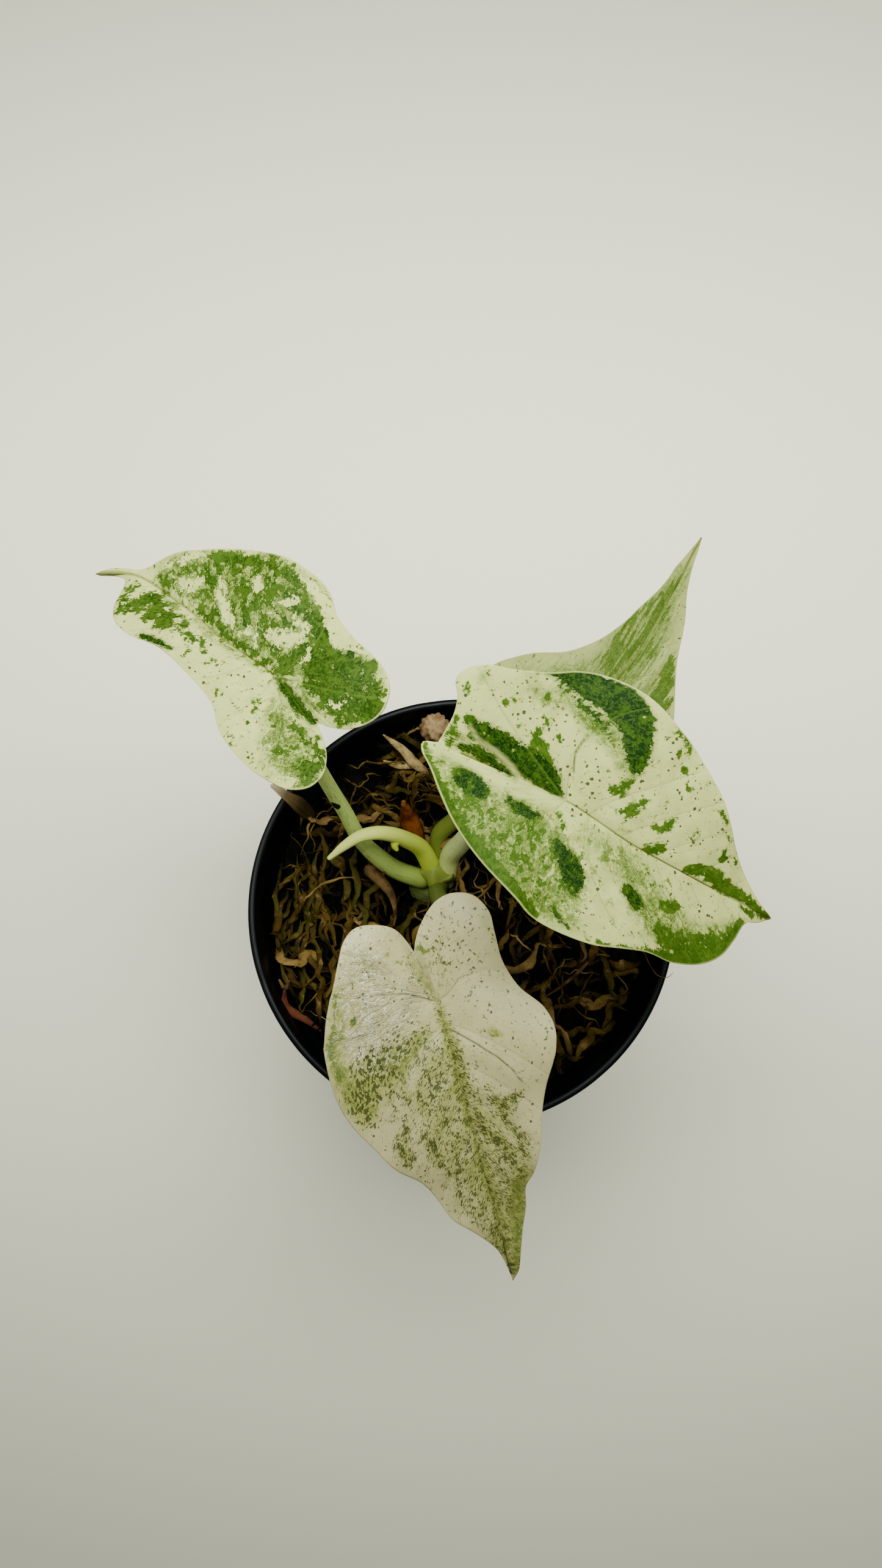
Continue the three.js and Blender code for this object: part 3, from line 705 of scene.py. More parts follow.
@dataclass
class Blade:
    """One arrow-shaped blade, on the same midrib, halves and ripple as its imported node."""

    name: str
    midrib: tuple[Point, ...]
    left: Half
    right: Half
    ripple: Ripple
    half_width: float
    strokes: tuple[Stroke, ...]
    finish: BladeFinish
    thickness: float = 0.58
    edge_thickness: float = 0.30
    quilt: float = 0.14
    groove: float = 0.30
    rib: float = 0.75

    def __post_init__(self) -> None:
        """Measures the midrib, whose first span lies behind the stalk."""
        per_span = 240
        self.line = catmull(self.midrib, per_span)
        self.arc = arc_lengths(self.line)
        self.back = self.arc[per_span]
        self.tangents = unit(np.gradient(self.line, axis=0))

    def frame_at(self, s: Array) -> tuple[Array, Array, Array, Array]:
        """The midrib at each distance from the stalk.

        Args:
            s: the distances.

        Returns:
            Its points, the directions across it and normal to it, and its share from notch to tip.
        """
        arc = s + self.back
        inside = np.clip(arc, 0, self.arc[-1])
        middle, tangent = (np.stack([np.interp(inside, self.arc, column) for column in rows.T], -1)
                           for rows in (self.line, self.tangents))
        tangent = unit(tangent)
        middle = middle + tangent * (arc - inside)[:, None]
        across = unit(np.cross(tangent, (0, 0, 1)))
        return middle, across, np.cross(across, tangent), arc / self.arc[-1]

    def surface(self, s: Array, w: Array, fraction: Array) -> Array:
        """Points of the sheet.

        Args:
            s: distances along the midrib from the stalk.
            w: signed distances across it.
            fraction: 0 at the stalk and 1 on the margin.

        Returns:
            The points.
        """
        middle, across, normal, u = self.frame_at(s)
        left, width = w < 0, np.abs(w)
        fold = np.radians(np.where(left, along(self.left.fold, u), along(self.right.fold, u)))
        curl = np.where(left, along(self.left.curl, u), along(self.right.curl, u))
        curl = np.radians(curl) / self.half_width
        out = (np.sin(fold + curl * width) - np.sin(fold)) / curl
        rise = (np.cos(fold) - np.cos(fold + curl * width)) / curl
        phase = math.tau * s / self.ripple.length + self.ripple.phase + np.where(left, 0, 2)
        wave = self.ripple.height * fraction**3 * np.sin(phase)
        place, gap = self.venation(s, width)
        quilt = self.quilt * np.cos(math.tau * place) * np.clip(gap / 5, 0, 1) * np.clip(width / 3, 0, 1)
        groove = self.groove * np.exp(-((width / 0.7) ** 2)) * np.clip(fraction * 8, 0, 1)
        up = rise + wave - quilt * (1 - fraction**4) - groove * (1 - fraction**2)
        return middle + across * (np.sign(w) * out)[:, None] + normal * up[:, None]

    @staticmethod
    def venation(s: Array, width: Array) -> tuple[Array, Array]:
        """The place of points between the side veins.

        Args:
            s: distances along the midrib from the stalk.
            width: distances across it.

        Returns:
            A number that is whole on each vein, and the gap between the two veins next to each point.
        """
        lines = np.stack([vein.at(width) for vein in SIDE_VEINS])
        slopes = np.stack([vein.lean + 2 * vein.bend * width for vein in SIDE_VEINS])
        index = np.clip((lines <= s).sum(0) - 1, 0, len(SIDE_VEINS) - 2)
        columns = np.arange(len(s))
        low, high = lines[index, columns], lines[index + 1, columns]
        span = np.maximum(high - low, 0.05)
        lean = 0.5 * (slopes[index, columns] + slopes[index + 1, columns])
        place = index + np.clip((s - low) / span, -1.5, 2.5)
        return place, span / np.sqrt(1 + lean**2)

    def outline(self) -> Array:
        """Points (s, w) round the margin, from the tip along the left half to the notch and back."""
        left, right = (smooth_line(half.edge, EDGE_STEPS + 1) * (1, sign)
                       for half, sign in ((self.left, -1), (self.right, 1)))
        return np.vstack([left[:-1], right[:0:-1]])

    def build(self) -> bpy.types.Object:
        """Builds the blade with its markings.

        Returns:
            The piece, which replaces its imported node.
        """
        edge = self.outline()
        count = len(edge)
        fractions = np.linspace(0, 1, RINGS + 1)[1:] ** 0.92
        s, w = (np.r_[0, np.outer(fractions, column).ravel()] for column in edge.T)
        fraction = np.r_[0, np.repeat(fractions, count)]
        sheet = self.surface(s, w, fraction)
        ring, column = np.meshgrid(np.arange(RINGS - 1), np.arange(count), indexing="ij")
        after = (column + 1) % count
        first = 1 + ring * count
        quads = np.stack([first + column, first + count + column, first + count + after, first + after], -1)
        quads = quads.reshape(-1, 4)
        fan = np.stack([np.zeros(count, int), 1 + np.arange(count), 1 + (np.arange(count) + 1) % count], -1)
        normals = self._normals(sheet, quads)
        thick = self.edge_thickness + (self.thickness - self.edge_thickness) * (1 - fraction**6)
        rib = self.rib * np.exp(-((w / 0.8) ** 2)) * np.clip(1 - np.abs(s) / self.arc[-1], 0, 1)
        rib = rib * (1 - fraction**3)
        top = sheet + normals * (thick / 2)[:, None]
        bottom = sheet - normals * (thick / 2 + rib)[:, None]
        shift = len(sheet)
        margin = 1 + (RINGS - 1) * count + np.arange(count)
        beyond = np.roll(margin, -1)
        upper = [*fan.tolist(), *quads.tolist()]
        lower = [*(fan[:, ::-1] + shift).tolist(), *(quads[:, ::-1] + shift).tolist()]
        side = np.stack([margin, margin + shift, beyond + shift, beyond], -1).tolist()
        skin = self.finish.material(f"{self.name} skin")
        back = replace(self.finish, underside=True).material(f"{self.name} underside")
        piece = make_piece(f"{self.name}_sheet", np.vstack([top, bottom]), upper + lower + side, skin, back)
        slots = [0] * len(upper) + [1] * len(lower) + [0] * len(side)
        piece.data.polygons.foreach_set("material_index", slots)
        self._store_marks(piece.data, np.r_[s, s], np.r_[w, w], np.r_[fraction, fraction])
        return piece

    @staticmethod
    def _normals(points: Array, quads: Array) -> Array:
        """Smooth vertex normals of the sheet."""
        normals = np.zeros_like(points)
        a, b, c, d = (points[quads[:, k]] for k in range(4))
        flat = np.cross(c - a, d - b)
        for k in range(4):
            np.add.at(normals, quads[:, k], flat)
        normals[0] = normals[1:20].mean(0)
        return unit(normals)

    def _store_marks(self, mesh: bpy.types.Mesh, s: Array, w: Array, fraction: Array) -> None:
        """Stores what the finish reads, for each corner of each face.

        Args:
            mesh: the blade's mesh.
            s: each vertex's distance along the midrib.
            w: its signed distance across.
            fraction: its share of the way to the margin.
        """
        corners = np.empty(len(mesh.loops), int)
        mesh.loops.foreach_get("vertex_index", corners)
        totals = np.empty(len(mesh.polygons), int)
        mesh.polygons.foreach_get("loop_total", totals)
        face_of = np.repeat(np.arange(len(totals)), totals)
        mean_w = np.bincount(face_of, w[corners], len(totals)) / totals
        side = np.where(mean_w < 0, -1, 1)[face_of]
        cs, cw = s[corners], np.abs(w[corners])
        place, gap = self.venation(cs, cw)
        starts_at = np.interp(place, np.arange(len(SIDE_VEINS)), [vein.start for vein in SIDE_VEINS])
        reach = np.hypot(cs - starts_at, cw)
        size = np.hypot(s, w) / np.maximum(fraction, 1e-6)
        rim = ((1 - fraction) * size)[corners]
        nothing = np.zeros_like(cs)
        stored = {
            "plan": (cs, side * cw, nothing),
            "flow": (reach, (place + np.where(side > 0, 40, 0)) * FLOW_GAP, nothing),
            "build": (gap, rim, cw + np.where(cs < 0, 3, 0)),
        }
        marks = {tone: np.zeros(len(s)) for tone in Tone}
        for stroke in self.strokes:
            marks[stroke.tone] = np.maximum(marks[stroke.tone], stroke.coverage(s, w))
        for name, tones in MARKS.items():
            stored[name] = [marks[tone][corners] for tone in tones]
        for name, columns in stored.items():
            layer = mesh.attributes.new(name, "FLOAT_VECTOR", "CORNER")
            layer.data.foreach_set("vector", np.stack(columns, -1).astype(np.float32).ravel())


def right_blade() -> Blade:
    """The largest blade: cream, with a dark crescent on its upper half and a misty lower half."""
    wash, green, dark = Tone.WASH, Tone.GREEN, Tone.DARK
    cream, vein, line = Tone.CREAM, Tone.VEIN, Tone.LINE
    strokes = (
        Stroke(wash, ((-12.5, -14.4, 1.6), (-9, -14, 1.9)), 0.75, 2.5),
        Stroke(wash, ((-8, -15.6, 1.6), (-3, -13.8, 2), (1, -12.6, 1.8), (4, -10.8, 1.4), (6, -9.6, 1)),
               0.9, 2),
        Stroke(dark, ((-12, -18.9, 0.7), (-8.5, -19.3, 1.7), (-4.5, -19.4, 2.6), (-0.5, -19.2, 3),
                      (2.6, -17.6, 2.8), (4.4, -15, 2.3), (5.6, -12.8, 2), (6.7, -11, 1.1)), feather=1.3),
        Stroke(dark, ((-9, -17, 1.2), (-5, -15.9, 1.8), (-1.5, -15, 2.1), (1, -13.6, 1.6)), 0.55, 1.6),
        Stroke(dark, ((-21, -6, 0.7), (-18.6, -4.6, 1.7), (-15, -4.2, 2.2), (-11.4, -3.4, 2.2),
                      (-8, -3, 2.4), (-5, -2.2, 2.1), (-2.6, -1, 1.2), (-1.2, -0.4, 0.4))),
        Stroke(green, ((-9.7, -8.6, 0.7), (-8.4, -6.6, 1.1), (-6.4, -4.6, 1.2))),
        Stroke(dark, ((-20.3, -1.3, 0.6), (-17.5, -1.5, 0.9), (-14.4, -1, 0.8), (-11.5, -0.3, 0.6),
                      (-9.6, 0, 0.3))),
        Stroke(vein, ((-20.5, -5, 0.1), (-18, -3.2, 0.2), (-14.8, -2.8, 0.25), (-11, -1.4, 0.3),
                      (-8.7, 0, 0.3), (-5.4, 1, 0.25), (-2.4, 0.8, 0.15)), 0.9, 0.4),
        Stroke(vein, ((-24.5, 1.6, 0.4), (-20.4, 1, 0.7), (-17, 0.9, 0.6), (-14.6, 1.3, 0.5),
                      (-12, 2.2, 0.4), (-8, 2.8, 0.3), (-4, 2.2, 0.3), (-1.5, 1.1, 0.3)), 0.8, 0.7),
        Stroke(green, ((-23.2, -6, 0.8), (-22.6, -3, 1.4), (-21.8, -0.8, 1.2)), 0.62, 1.2),
        Stroke(dark, ((-18.2, 4, 1.6), (-16.4, 4.3, 2), (-14.6, 4.8, 1.5))),
        Stroke(dark, ((-9.4, 4.5, 0.6), (-7.4, 5, 1.2), (-5.6, 5.4, 1), (-3.4, 4.8, 0.3))),
        Stroke(dark, ((1.4, 7.6, 0.7), (3.6, 8.9, 1.5), (6, 9.8, 2), (7.8, 11.2, 2), (8.8, 12.8, 0.9))),
        Stroke(cream, ((3.2, 10.6, 0.2), (3.6, 12.6, 0.4), (2.6, 14, 0.3)), feather=0.6),
        Stroke(green, ((-3.2, 12.6, 0.9),)),
        Stroke(green, ((2, 12.3, 0.6),)),
        Stroke(dark, ((15.8, 8, 1.2), (17.6, 9.2, 1.3))),
        Stroke(green, ((14.1, 11.6, 0.4), (15, 12.8, 0.5))),
        Stroke(green, ((16.6, 11.4, 0.25), (17.4, 12.3, 0.3)), feather=0.7),
        Stroke(green, ((18.6, 12.8, 0.2), (19.4, 13.8, 0.3)), feather=0.7),
        Stroke(green, ((21, 7.6, 0.8), (23, 7.4, 1.4), (25.4, 6, 0.9)), 0.8),
        Stroke(green, ((22, 2.6, 0.5), (22.6, 3.4, 0.5)), 0.8),
        Stroke(green, ((0, 3, 0.5), (1.4, 4.6, 0.6))),
        Stroke(green, ((5.3, -5.6, 0.5), (6.6, -6.2, 0.9), (6.9, -7.6, 0.7), (7.3, -8.8, 0.4)), 0.95),
        Stroke(green, ((8.5, -3.1, 0.5), (9.6, -4.2, 0.9), (10.6, -5.8, 0.9), (11.1, -6.9, 0.5)), 0.95),
        Stroke(green, ((15.2, -4.3, 0.4), (17, -4.7, 0.7), (17.8, -6, 0.7), (18.1, -7.2, 0.4)), 0.95),
        Stroke(wash, ((10.5, -1.1, 0.4), (11.9, -1.5, 0.5)), 0.9),
        Stroke(green, ((15.6, -0.3, 0.3), (17.2, -0.9, 0.9), (18.6, -1.8, 1))),
        Stroke(green, ((25, -0.7, 0.6), (27, -1.6, 1.3), (30.4, -1.8, 1.3), (33.4, -1.4, 1.5),
                       (36, -1.5, 1.2), (38.6, -1.2, 0.9), (42, -0.8, 0.8), (46.5, -0.2, 0.4))),
        Stroke(cream, ((28.4, -0.8, 0.5),), feather=0.7),
        Stroke(green, ((30.6, -5.8, 1.1),)),
        Stroke(green, ((23, -6.7, 0.5),)),
        Stroke(green, ((26, -12.1, 0.4), (27.4, -11.4, 0.5)), 0.9, 0.8),
        Stroke(green, ((28.4, -9.6, 0.4), (30, -8.8, 0.4)), 0.62, 1.2),
        Stroke(green, ((33.4, -6.6, 0.3), (35, -5.6, 0.3)), 0.8, 0.8),
        Stroke(green, ((14.4, -16.2, 0.4), (15.6, -15.4, 0.45)), 0.95),
        Stroke(green, ((16.8, -14.5, 0.3), (17.4, -12.8, 0.25), (18.6, -13.2, 0.25)), 0.95, 0.6),
        Stroke(green, ((11.6, -17.6, 0.4), (12.2, -16.8, 0.4)), 0.95, 0.8),
        Stroke(green, ((9, -20.6, 0.6), (12, -20, 0.8), (14.5, -18.8, 0.5)), 0.85, 1.2),
        Stroke(wash, ((-21.7, -13.2, 0.8),), 0.9, 1.5),
        Stroke(green, ((-21.4, -14, 0.4),)),
        Stroke(green, ((-23.9, -11.4, 0.35), (-23, -10.3, 0.4))),
        Stroke(green, ((-15.2, -11.8, 0.5),)),
        Stroke(green, ((-16.6, -10.7, 0.4),)),
        Stroke(green, ((-9.4, -11, 0.4), (-8.6, -10.3, 0.45)), 0.95),
        Stroke(green, ((-13, -7.8, 0.35),)),
        Stroke(green, ((-10.2, -14.4, 0.7),), 0.75, 1.5),
        Stroke(green, ((-6, -9.3, 0.3), (-5.4, -8.5, 0.3)), 0.9, 0.7),
        Stroke(green, ((-19.5, -16.6, 0.3), (-15, -17.6, 0.35), (-10.5, -18.8, 0.5)), 0.8, 0.8),
        Stroke(wash, ((-22, 3, 2), (-14, 9, 6), (-5, 11, 8.5), (3, 12.5, 8), (8, 16, 3.5)), 1, 3),
        Stroke(green, ((-22, 3, 2), (-14, 9, 5), (-5, 11, 7), (3, 12.5, 6.5), (8, 16, 3)), 0.46, 2.5),
        Stroke(green, ((2, 15, 2), (6, 16.4, 2.2), (9, 15.6, 1.6)), 0.36, 2.5),
        Stroke(cream, ((0.8, 2.4, 0.6), (3, 5, 0.7), (7, 6.8, 0.6), (9.8, 9.4, 0.6), (11.2, 12.6, 0.8)),
               0.75, 1.4),
        Stroke(cream, ((12.5, 14.8, 1.6), (15.5, 13.2, 2.2), (18.5, 13.2, 1.3)), 0.95, 1.5),
        Stroke(cream, ((21.4, 1.6, 0.4), (26, 3, 1.2), (31, 3.6, 1.8), (35.6, 3.2, 1.2)), 0.95, 1.5),
        Stroke(wash, ((5, 2.4, 1.4), (10, 4, 3.2), (16, 5, 4), (20, 9, 4)), 0.8, 3),
        Stroke(green, ((15, 1.6, 0.7), (17.4, 3.4, 1.2), (19.6, 6, 1.4), (20.8, 9, 1.4), (20.8, 12, 1)),
               0.44, 1.6),
        Stroke(wash, ((21, 11, 3), (25, 10.5, 4), (30, 11.5, 4), (34, 9.5, 3), (38, 5, 1.5)), 1, 3),
        Stroke(green, ((22, 11.6, 1.6), (25, 12.2, 2.6), (29, 12.4, 3), (33, 10.4, 2.8), (36.4, 7.6, 2),
                       (38.8, 4.6, 1)), 0.70, 1.6),
        Stroke(green, ((23.5, 15.2, 0.7), (28, 14.8, 1.3), (32.4, 12.8, 1.5), (35.6, 9.8, 1.7),
                       (38.2, 6.4, 1.4), (39.4, 3.4, 0.8)), 1, 1.2),
        Stroke(green, ((39, 1.2, 0.8), (42, 1, 0.8), (46, 0.3, 0.4)), 0.8, 1),
        Stroke(green, ((-26, 1.4, 0.5), (-24, 4.6, 1), (-19.5, 9, 1.2), (-13.6, 13.2, 1.2), (-6, 16.9, 1.3),
                       (0, 18.9, 1.2), (5, 19.8, 0.7)), 1, 1),
        Stroke(green, ((13, 18.8, 0.5), (18, 17, 0.6), (23, 15.6, 0.6)), 0.8, 1),
        Stroke(dark, ((7.4, 17.4, 0.3), (9.6, 18.4, 0.35), (11, 18.6, 0.15)), 0.9, 0.6),
        Stroke(line, ((-1.3, -5, 0.02), (-2.6, -8, 0.02), (-2.2, -10.6, 0.06)), 0.9, 0.34),
        Stroke(line, ((1.4, 0.1, 0.05), (12, 0.2, 0.08), (22, 0.1, 0.08), (32, 0, 0.06)), 0.8, 0.34),
    )
    left = Half(
        fold=(38, 24, 16, 14, 10),
        curl=(-45, -25, -14, -10, -6),
        edge=((47.7, 0), (42.6, 1.9), (35, 6.7), (30, 10.2), (25, 14.1), (20.2, 17.2), (15.2, 19.8),
              (9, 20.8), (2, 22.3), (-3.5, 22), (-7, 20.9), (-11.5, 18.4), (-17.4, 16.3), (-21.7, 15.5),
              (-24.6, 14), (-25.8, 11.5), (-24.4, 9), (-23.7, 6), (-23.8, 2.5), (-24, 0)),
    )
    right = Half(
        fold=(12, 14, 16, 14, 10),
        curl=(-16, -16, -16, -14, -8),
        edge=((47.7, 0), (44.4, 1.8), (40.6, 3.2), (38.6, 7), (36.6, 10.6), (33.2, 13.6), (28, 15.5),
              (22, 16), (18, 17.3), (13.4, 19.3), (7, 20.5), (0, 19.8), (-8.6, 16.8), (-16.7, 11.8),
              (-20.8, 8), (-23.8, 4.6), (-26.1, 2.4), (-26.5, 1), (-25.2, 0.3), (-24, 0)),
    )
    midrib = ((-5, 21.6, 131), (16.8, 12.8, 126), (28.7, 5.6, 123), (41.2, 0, 117), (55.7, -5.7, 107))
    return Blade("leaf_right", midrib, left, right, Ripple(0.7, 21, 0.4), 22, strokes,
                 BladeFinish(shift=3.0, specks=0.8, blotch=0.64, tear=3.2))


def left_blade() -> Blade:
    """The blade on the left: one half broken green, the other cream, and a long dry tip."""
    wash, green, dark, cream = Tone.WASH, Tone.GREEN, Tone.DARK, Tone.CREAM
    strokes = (
        Stroke(dark, ((-12, -0.5, 0.8), (-8, -0.6, 1.2), (-4, -0.5, 1.2), (-1, -0.1, 0.8)), 0.95),
        Stroke(wash, ((-10, 1.6, 0.8), (-6, 1.8, 0.8), (-2, 0.8, 0.5)), 1, 0.8),
        Stroke(wash, ((-14, 8, 6), (-4, 8, 6), (4, 9, 9), (14, 9, 9), (24, 7, 6), (31, 4, 4)), 1, 2),
        Stroke(green, ((-18, 7, 4), (-13, 8, 6), (-8, 7, 5), (-5, 7.5, 4)), 0.84, 1.6),
        Stroke(green, ((0, 3, 3), (4, 8, 7), (9, 9, 8), (14, 8.5, 8), (20, 7.5, 7), (25, 5.5, 5),
                       (31, 2.5, 2.6), (35, 2, 1.4)), 0.58, 2),
        Stroke(green, ((-3, 10, 2.2), (0, 12, 2.2), (4, 12.6, 2), (9, 12.4, 2)), 0.95, 1.6),
        Stroke(green, ((-1, 2, 1), (-1.6, 5, 1.6), (-1, 8, 1.8)), 0.92, 1.4),
        Stroke(green, ((5, 15.6, 1), (10, 15.6, 1.4), (16, 15.4, 1.6), (22, 12.6, 2), (26, 10.2, 1)),
               0.88, 1.6),
        Stroke(green, ((22.4, 6.6, 1.6), (25.6, 7, 1.2)), 0.98, 1.4),
        Stroke(green, ((8, 0.8, 0.4), (11.5, 1.2, 0.9), (16.5, 1.4, 0.8), (21, 1.2, 0.7)), 0.9, 1),
        Stroke(green, ((-1, 1.4, 1.4), (3, 1.5, 1.3), (8, 1.3, 1.1), (13, 1.3, 0.9)), 0.76, 1.6),
        Stroke(cream, ((36.6, 1, 0.7), (35, 2, 0.5)), 0.9, 1.2),
        Stroke(cream, ((34, 3.8, 0.7), (31, 6.4, 0.9), (27.6, 9.4, 0.7)), 0.85, 1.4),
        Stroke(cream, ((28, 3.4, 1), (25.4, 3.8, 1.3), (24.6, 5.4, 0.8)), 0.9, 1.6),
        Stroke(cream, ((21.6, 8.2, 0.4), (18.6, 5.6, 0.9), (15, 3.9, 0.9), (12.4, 3.2, 0.5)), 0.95, 1.2),
        Stroke(cream, ((14.4, 12, 0.9), (12.8, 11.3, 1.1)), 0.95, 1),
        Stroke(cream, ((10, 2.4, 0.6), (8, 4, 0.9), (6.4, 2.6, 0.6)), 0.8, 1.6),
        Stroke(cream, ((7, 10.6, 0.4), (5.8, 11.8, 1), (4.6, 13, 0.5)), 0.95, 1.2),
        Stroke(cream, ((8.4, 8.2, 0.3), (6.6, 8.8, 0.4)), 0.9, 0.8),
        Stroke(cream, ((4.2, 5.4, 1.1), (2, 6.3, 1.5), (0.6, 8.2, 0.8)), 1, 1.2),
        Stroke(cream, ((2.8, 10.2, 0.6), (0.6, 9.8, 0.7)), 0.95, 1),
        Stroke(cream, ((-2.4, 4.4, 0.3), (-2.8, 6.2, 0.5), (-1.8, 8, 0.4)), 0.85, 0.9),
        Stroke(cream, ((6, 17, 0.4), (2, 15.8, 0.9), (-2, 13.9, 1.4), (-5, 13, 1.8), (-9, 14.4, 0.8)),
               1, 0.8),
        Stroke(cream, ((-12, 3.6, 0.3), (-14, 5, 0.5), (-13.6, 7, 0.4)), 0.85, 0.9),
        Stroke(cream, ((-17.8, 3.2, 0.7), (-19, 5, 0.5)), 0.85, 1),
        Stroke(dark, ((-8, 12.2, 1.1), (-7, 12.9, 0.6)), 0.9),
        Stroke(dark, ((-4.2, 12.2, 0.6),), 0.9),
        Stroke(dark, ((-2, 14.6, 0.3),), 0.9, 0.6),
        Stroke(wash, ((25, -1.2, 0.8), (29, -1.2, 0.8)), 1, 1),
        Stroke(green, ((20, -3, 1.2), (24, -4.4, 2.2), (28, -4.2, 2.6), (31, -3, 2.4), (33, -6, 2)),
               0.84, 1.6),
        Stroke(green, ((14.6, -3.4, 0.5), (17, -3.8, 1)), 0.85, 1.2),
        Stroke(green, ((35, -8, 1.2), (36, -5.4, 1.2), (37.6, -2.4, 0.8)), 0.8, 1.6),
        Stroke(dark, ((17.4, -7.8, 0.3), (21, -8.6, 0.8), (26, -9.4, 0.4)), 0.95, 0.8),
        Stroke(wash, ((-20, -8, 4), (-15, -7.5, 5), (-11, -6, 4), (-6, -3.4, 2)), 1, 2.4),
        Stroke(green, ((-20, -7, 3), (-15, -5.6, 3), (-10, -3.4, 1.6)), 0.52, 2.4),
        Stroke(green, ((-20.4, -5.4, 1), (-18.6, -3.8, 1.3), (-15.6, -2.6, 0.7)), 0.95, 1.4),
        Stroke(green, ((-13.6, -8.2, 1.1),), 0.85, 1.6),
        Stroke(cream, ((-19.4, -10.8, 0.9), (-18, -11.8, 0.7)), 0.9, 1.4),
        Stroke(green, ((-9.4, -6.3, 0.5),), 0.95, 0.8),
        Stroke(green, ((-3.3, -6, 0.8),), 0.85, 1),
        Stroke(green, ((-5.6, -9.6, 0.4),), 0.95, 0.6),
        Stroke(green, ((6.4, -8.4, 0.4),), 0.95, 0.6),
        Stroke(green, ((12.4, -4.6, 0.4),), 0.95, 0.6),
        Stroke(wash, ((2, -0.9, 0.6), (8, -0.8, 0.6), (14, -1, 0.8), (20, -0.8, 0.8)), 0.9, 1.2),
        Stroke(green, ((0.6, 0, 0.3), (5, 0.1, 0.35), (9, 0.1, 0.2)), 0.9, 0.5),
    )
    left = Half(
        fold=(20, 20, 16, 14, 10),
        curl=(-22, -22, -22, -22, -10),
        edge=((49.8, 0), (44.8, 0.5), (41.3, 1.7), (38.9, 4.4), (36.8, 7.8), (33.2, 10.2), (29.4, 10.6),
              (24, 9.7), (17.7, 8.9), (11, 9.4), (6, 10.8), (1, 12.9), (-4.9, 14.4), (-11.4, 14.3),
              (-16.8, 13.2), (-20.2, 11.8), (-22.2, 9), (-21.9, 5.8), (-19.5, 3), (-15.6, 1.1), (-12.3, 0)),
    )
    right = Half(
        fold=(26, 22, 16, 14, 10),
        curl=(-30, -22, -18, -14, -8),
        edge=((49.8, 0), (46.4, 0.8), (43, 1), (40.3, 1.3), (38, 2.5), (36, 4.7), (33.3, 7.2), (27.7, 10.8),
              (22.8, 14.8), (18.5, 17), (11.2, 18.4), (4, 18.5), (1.2, 17.4), (-1.4, 15.2), (-5.9, 14.4),
              (-10.8, 14.9), (-15, 14.6), (-18.5, 12.7), (-20.6, 9.4), (-20.2, 6.4), (-17.5, 2.9),
              (-14.8, 1.2), (-12.3, 0)),
    )
    midrib = ((-25.6, 26.4, 127), (-33.4, 35.4, 124), (-42.6, 42.5, 122), (-52.9, 51.9, 117),
              (-63.4, 59.6, 111), (-71.1, 61.1, 107))
    tones = BladeTones(leaf=(0.044, 0.085, 0.006), mid=(0.012, 0.036, 0.0010))
    finish = BladeFinish(tones=tones, shift=17.0, rib_width=0.3, specks=0.45, outlined=0.3,
                         blotch=0.56, tear=5.2)
    return Blade("leaf_left", midrib, left, right, Ripple(0.6, 18, 1.6), 18, strokes, finish)


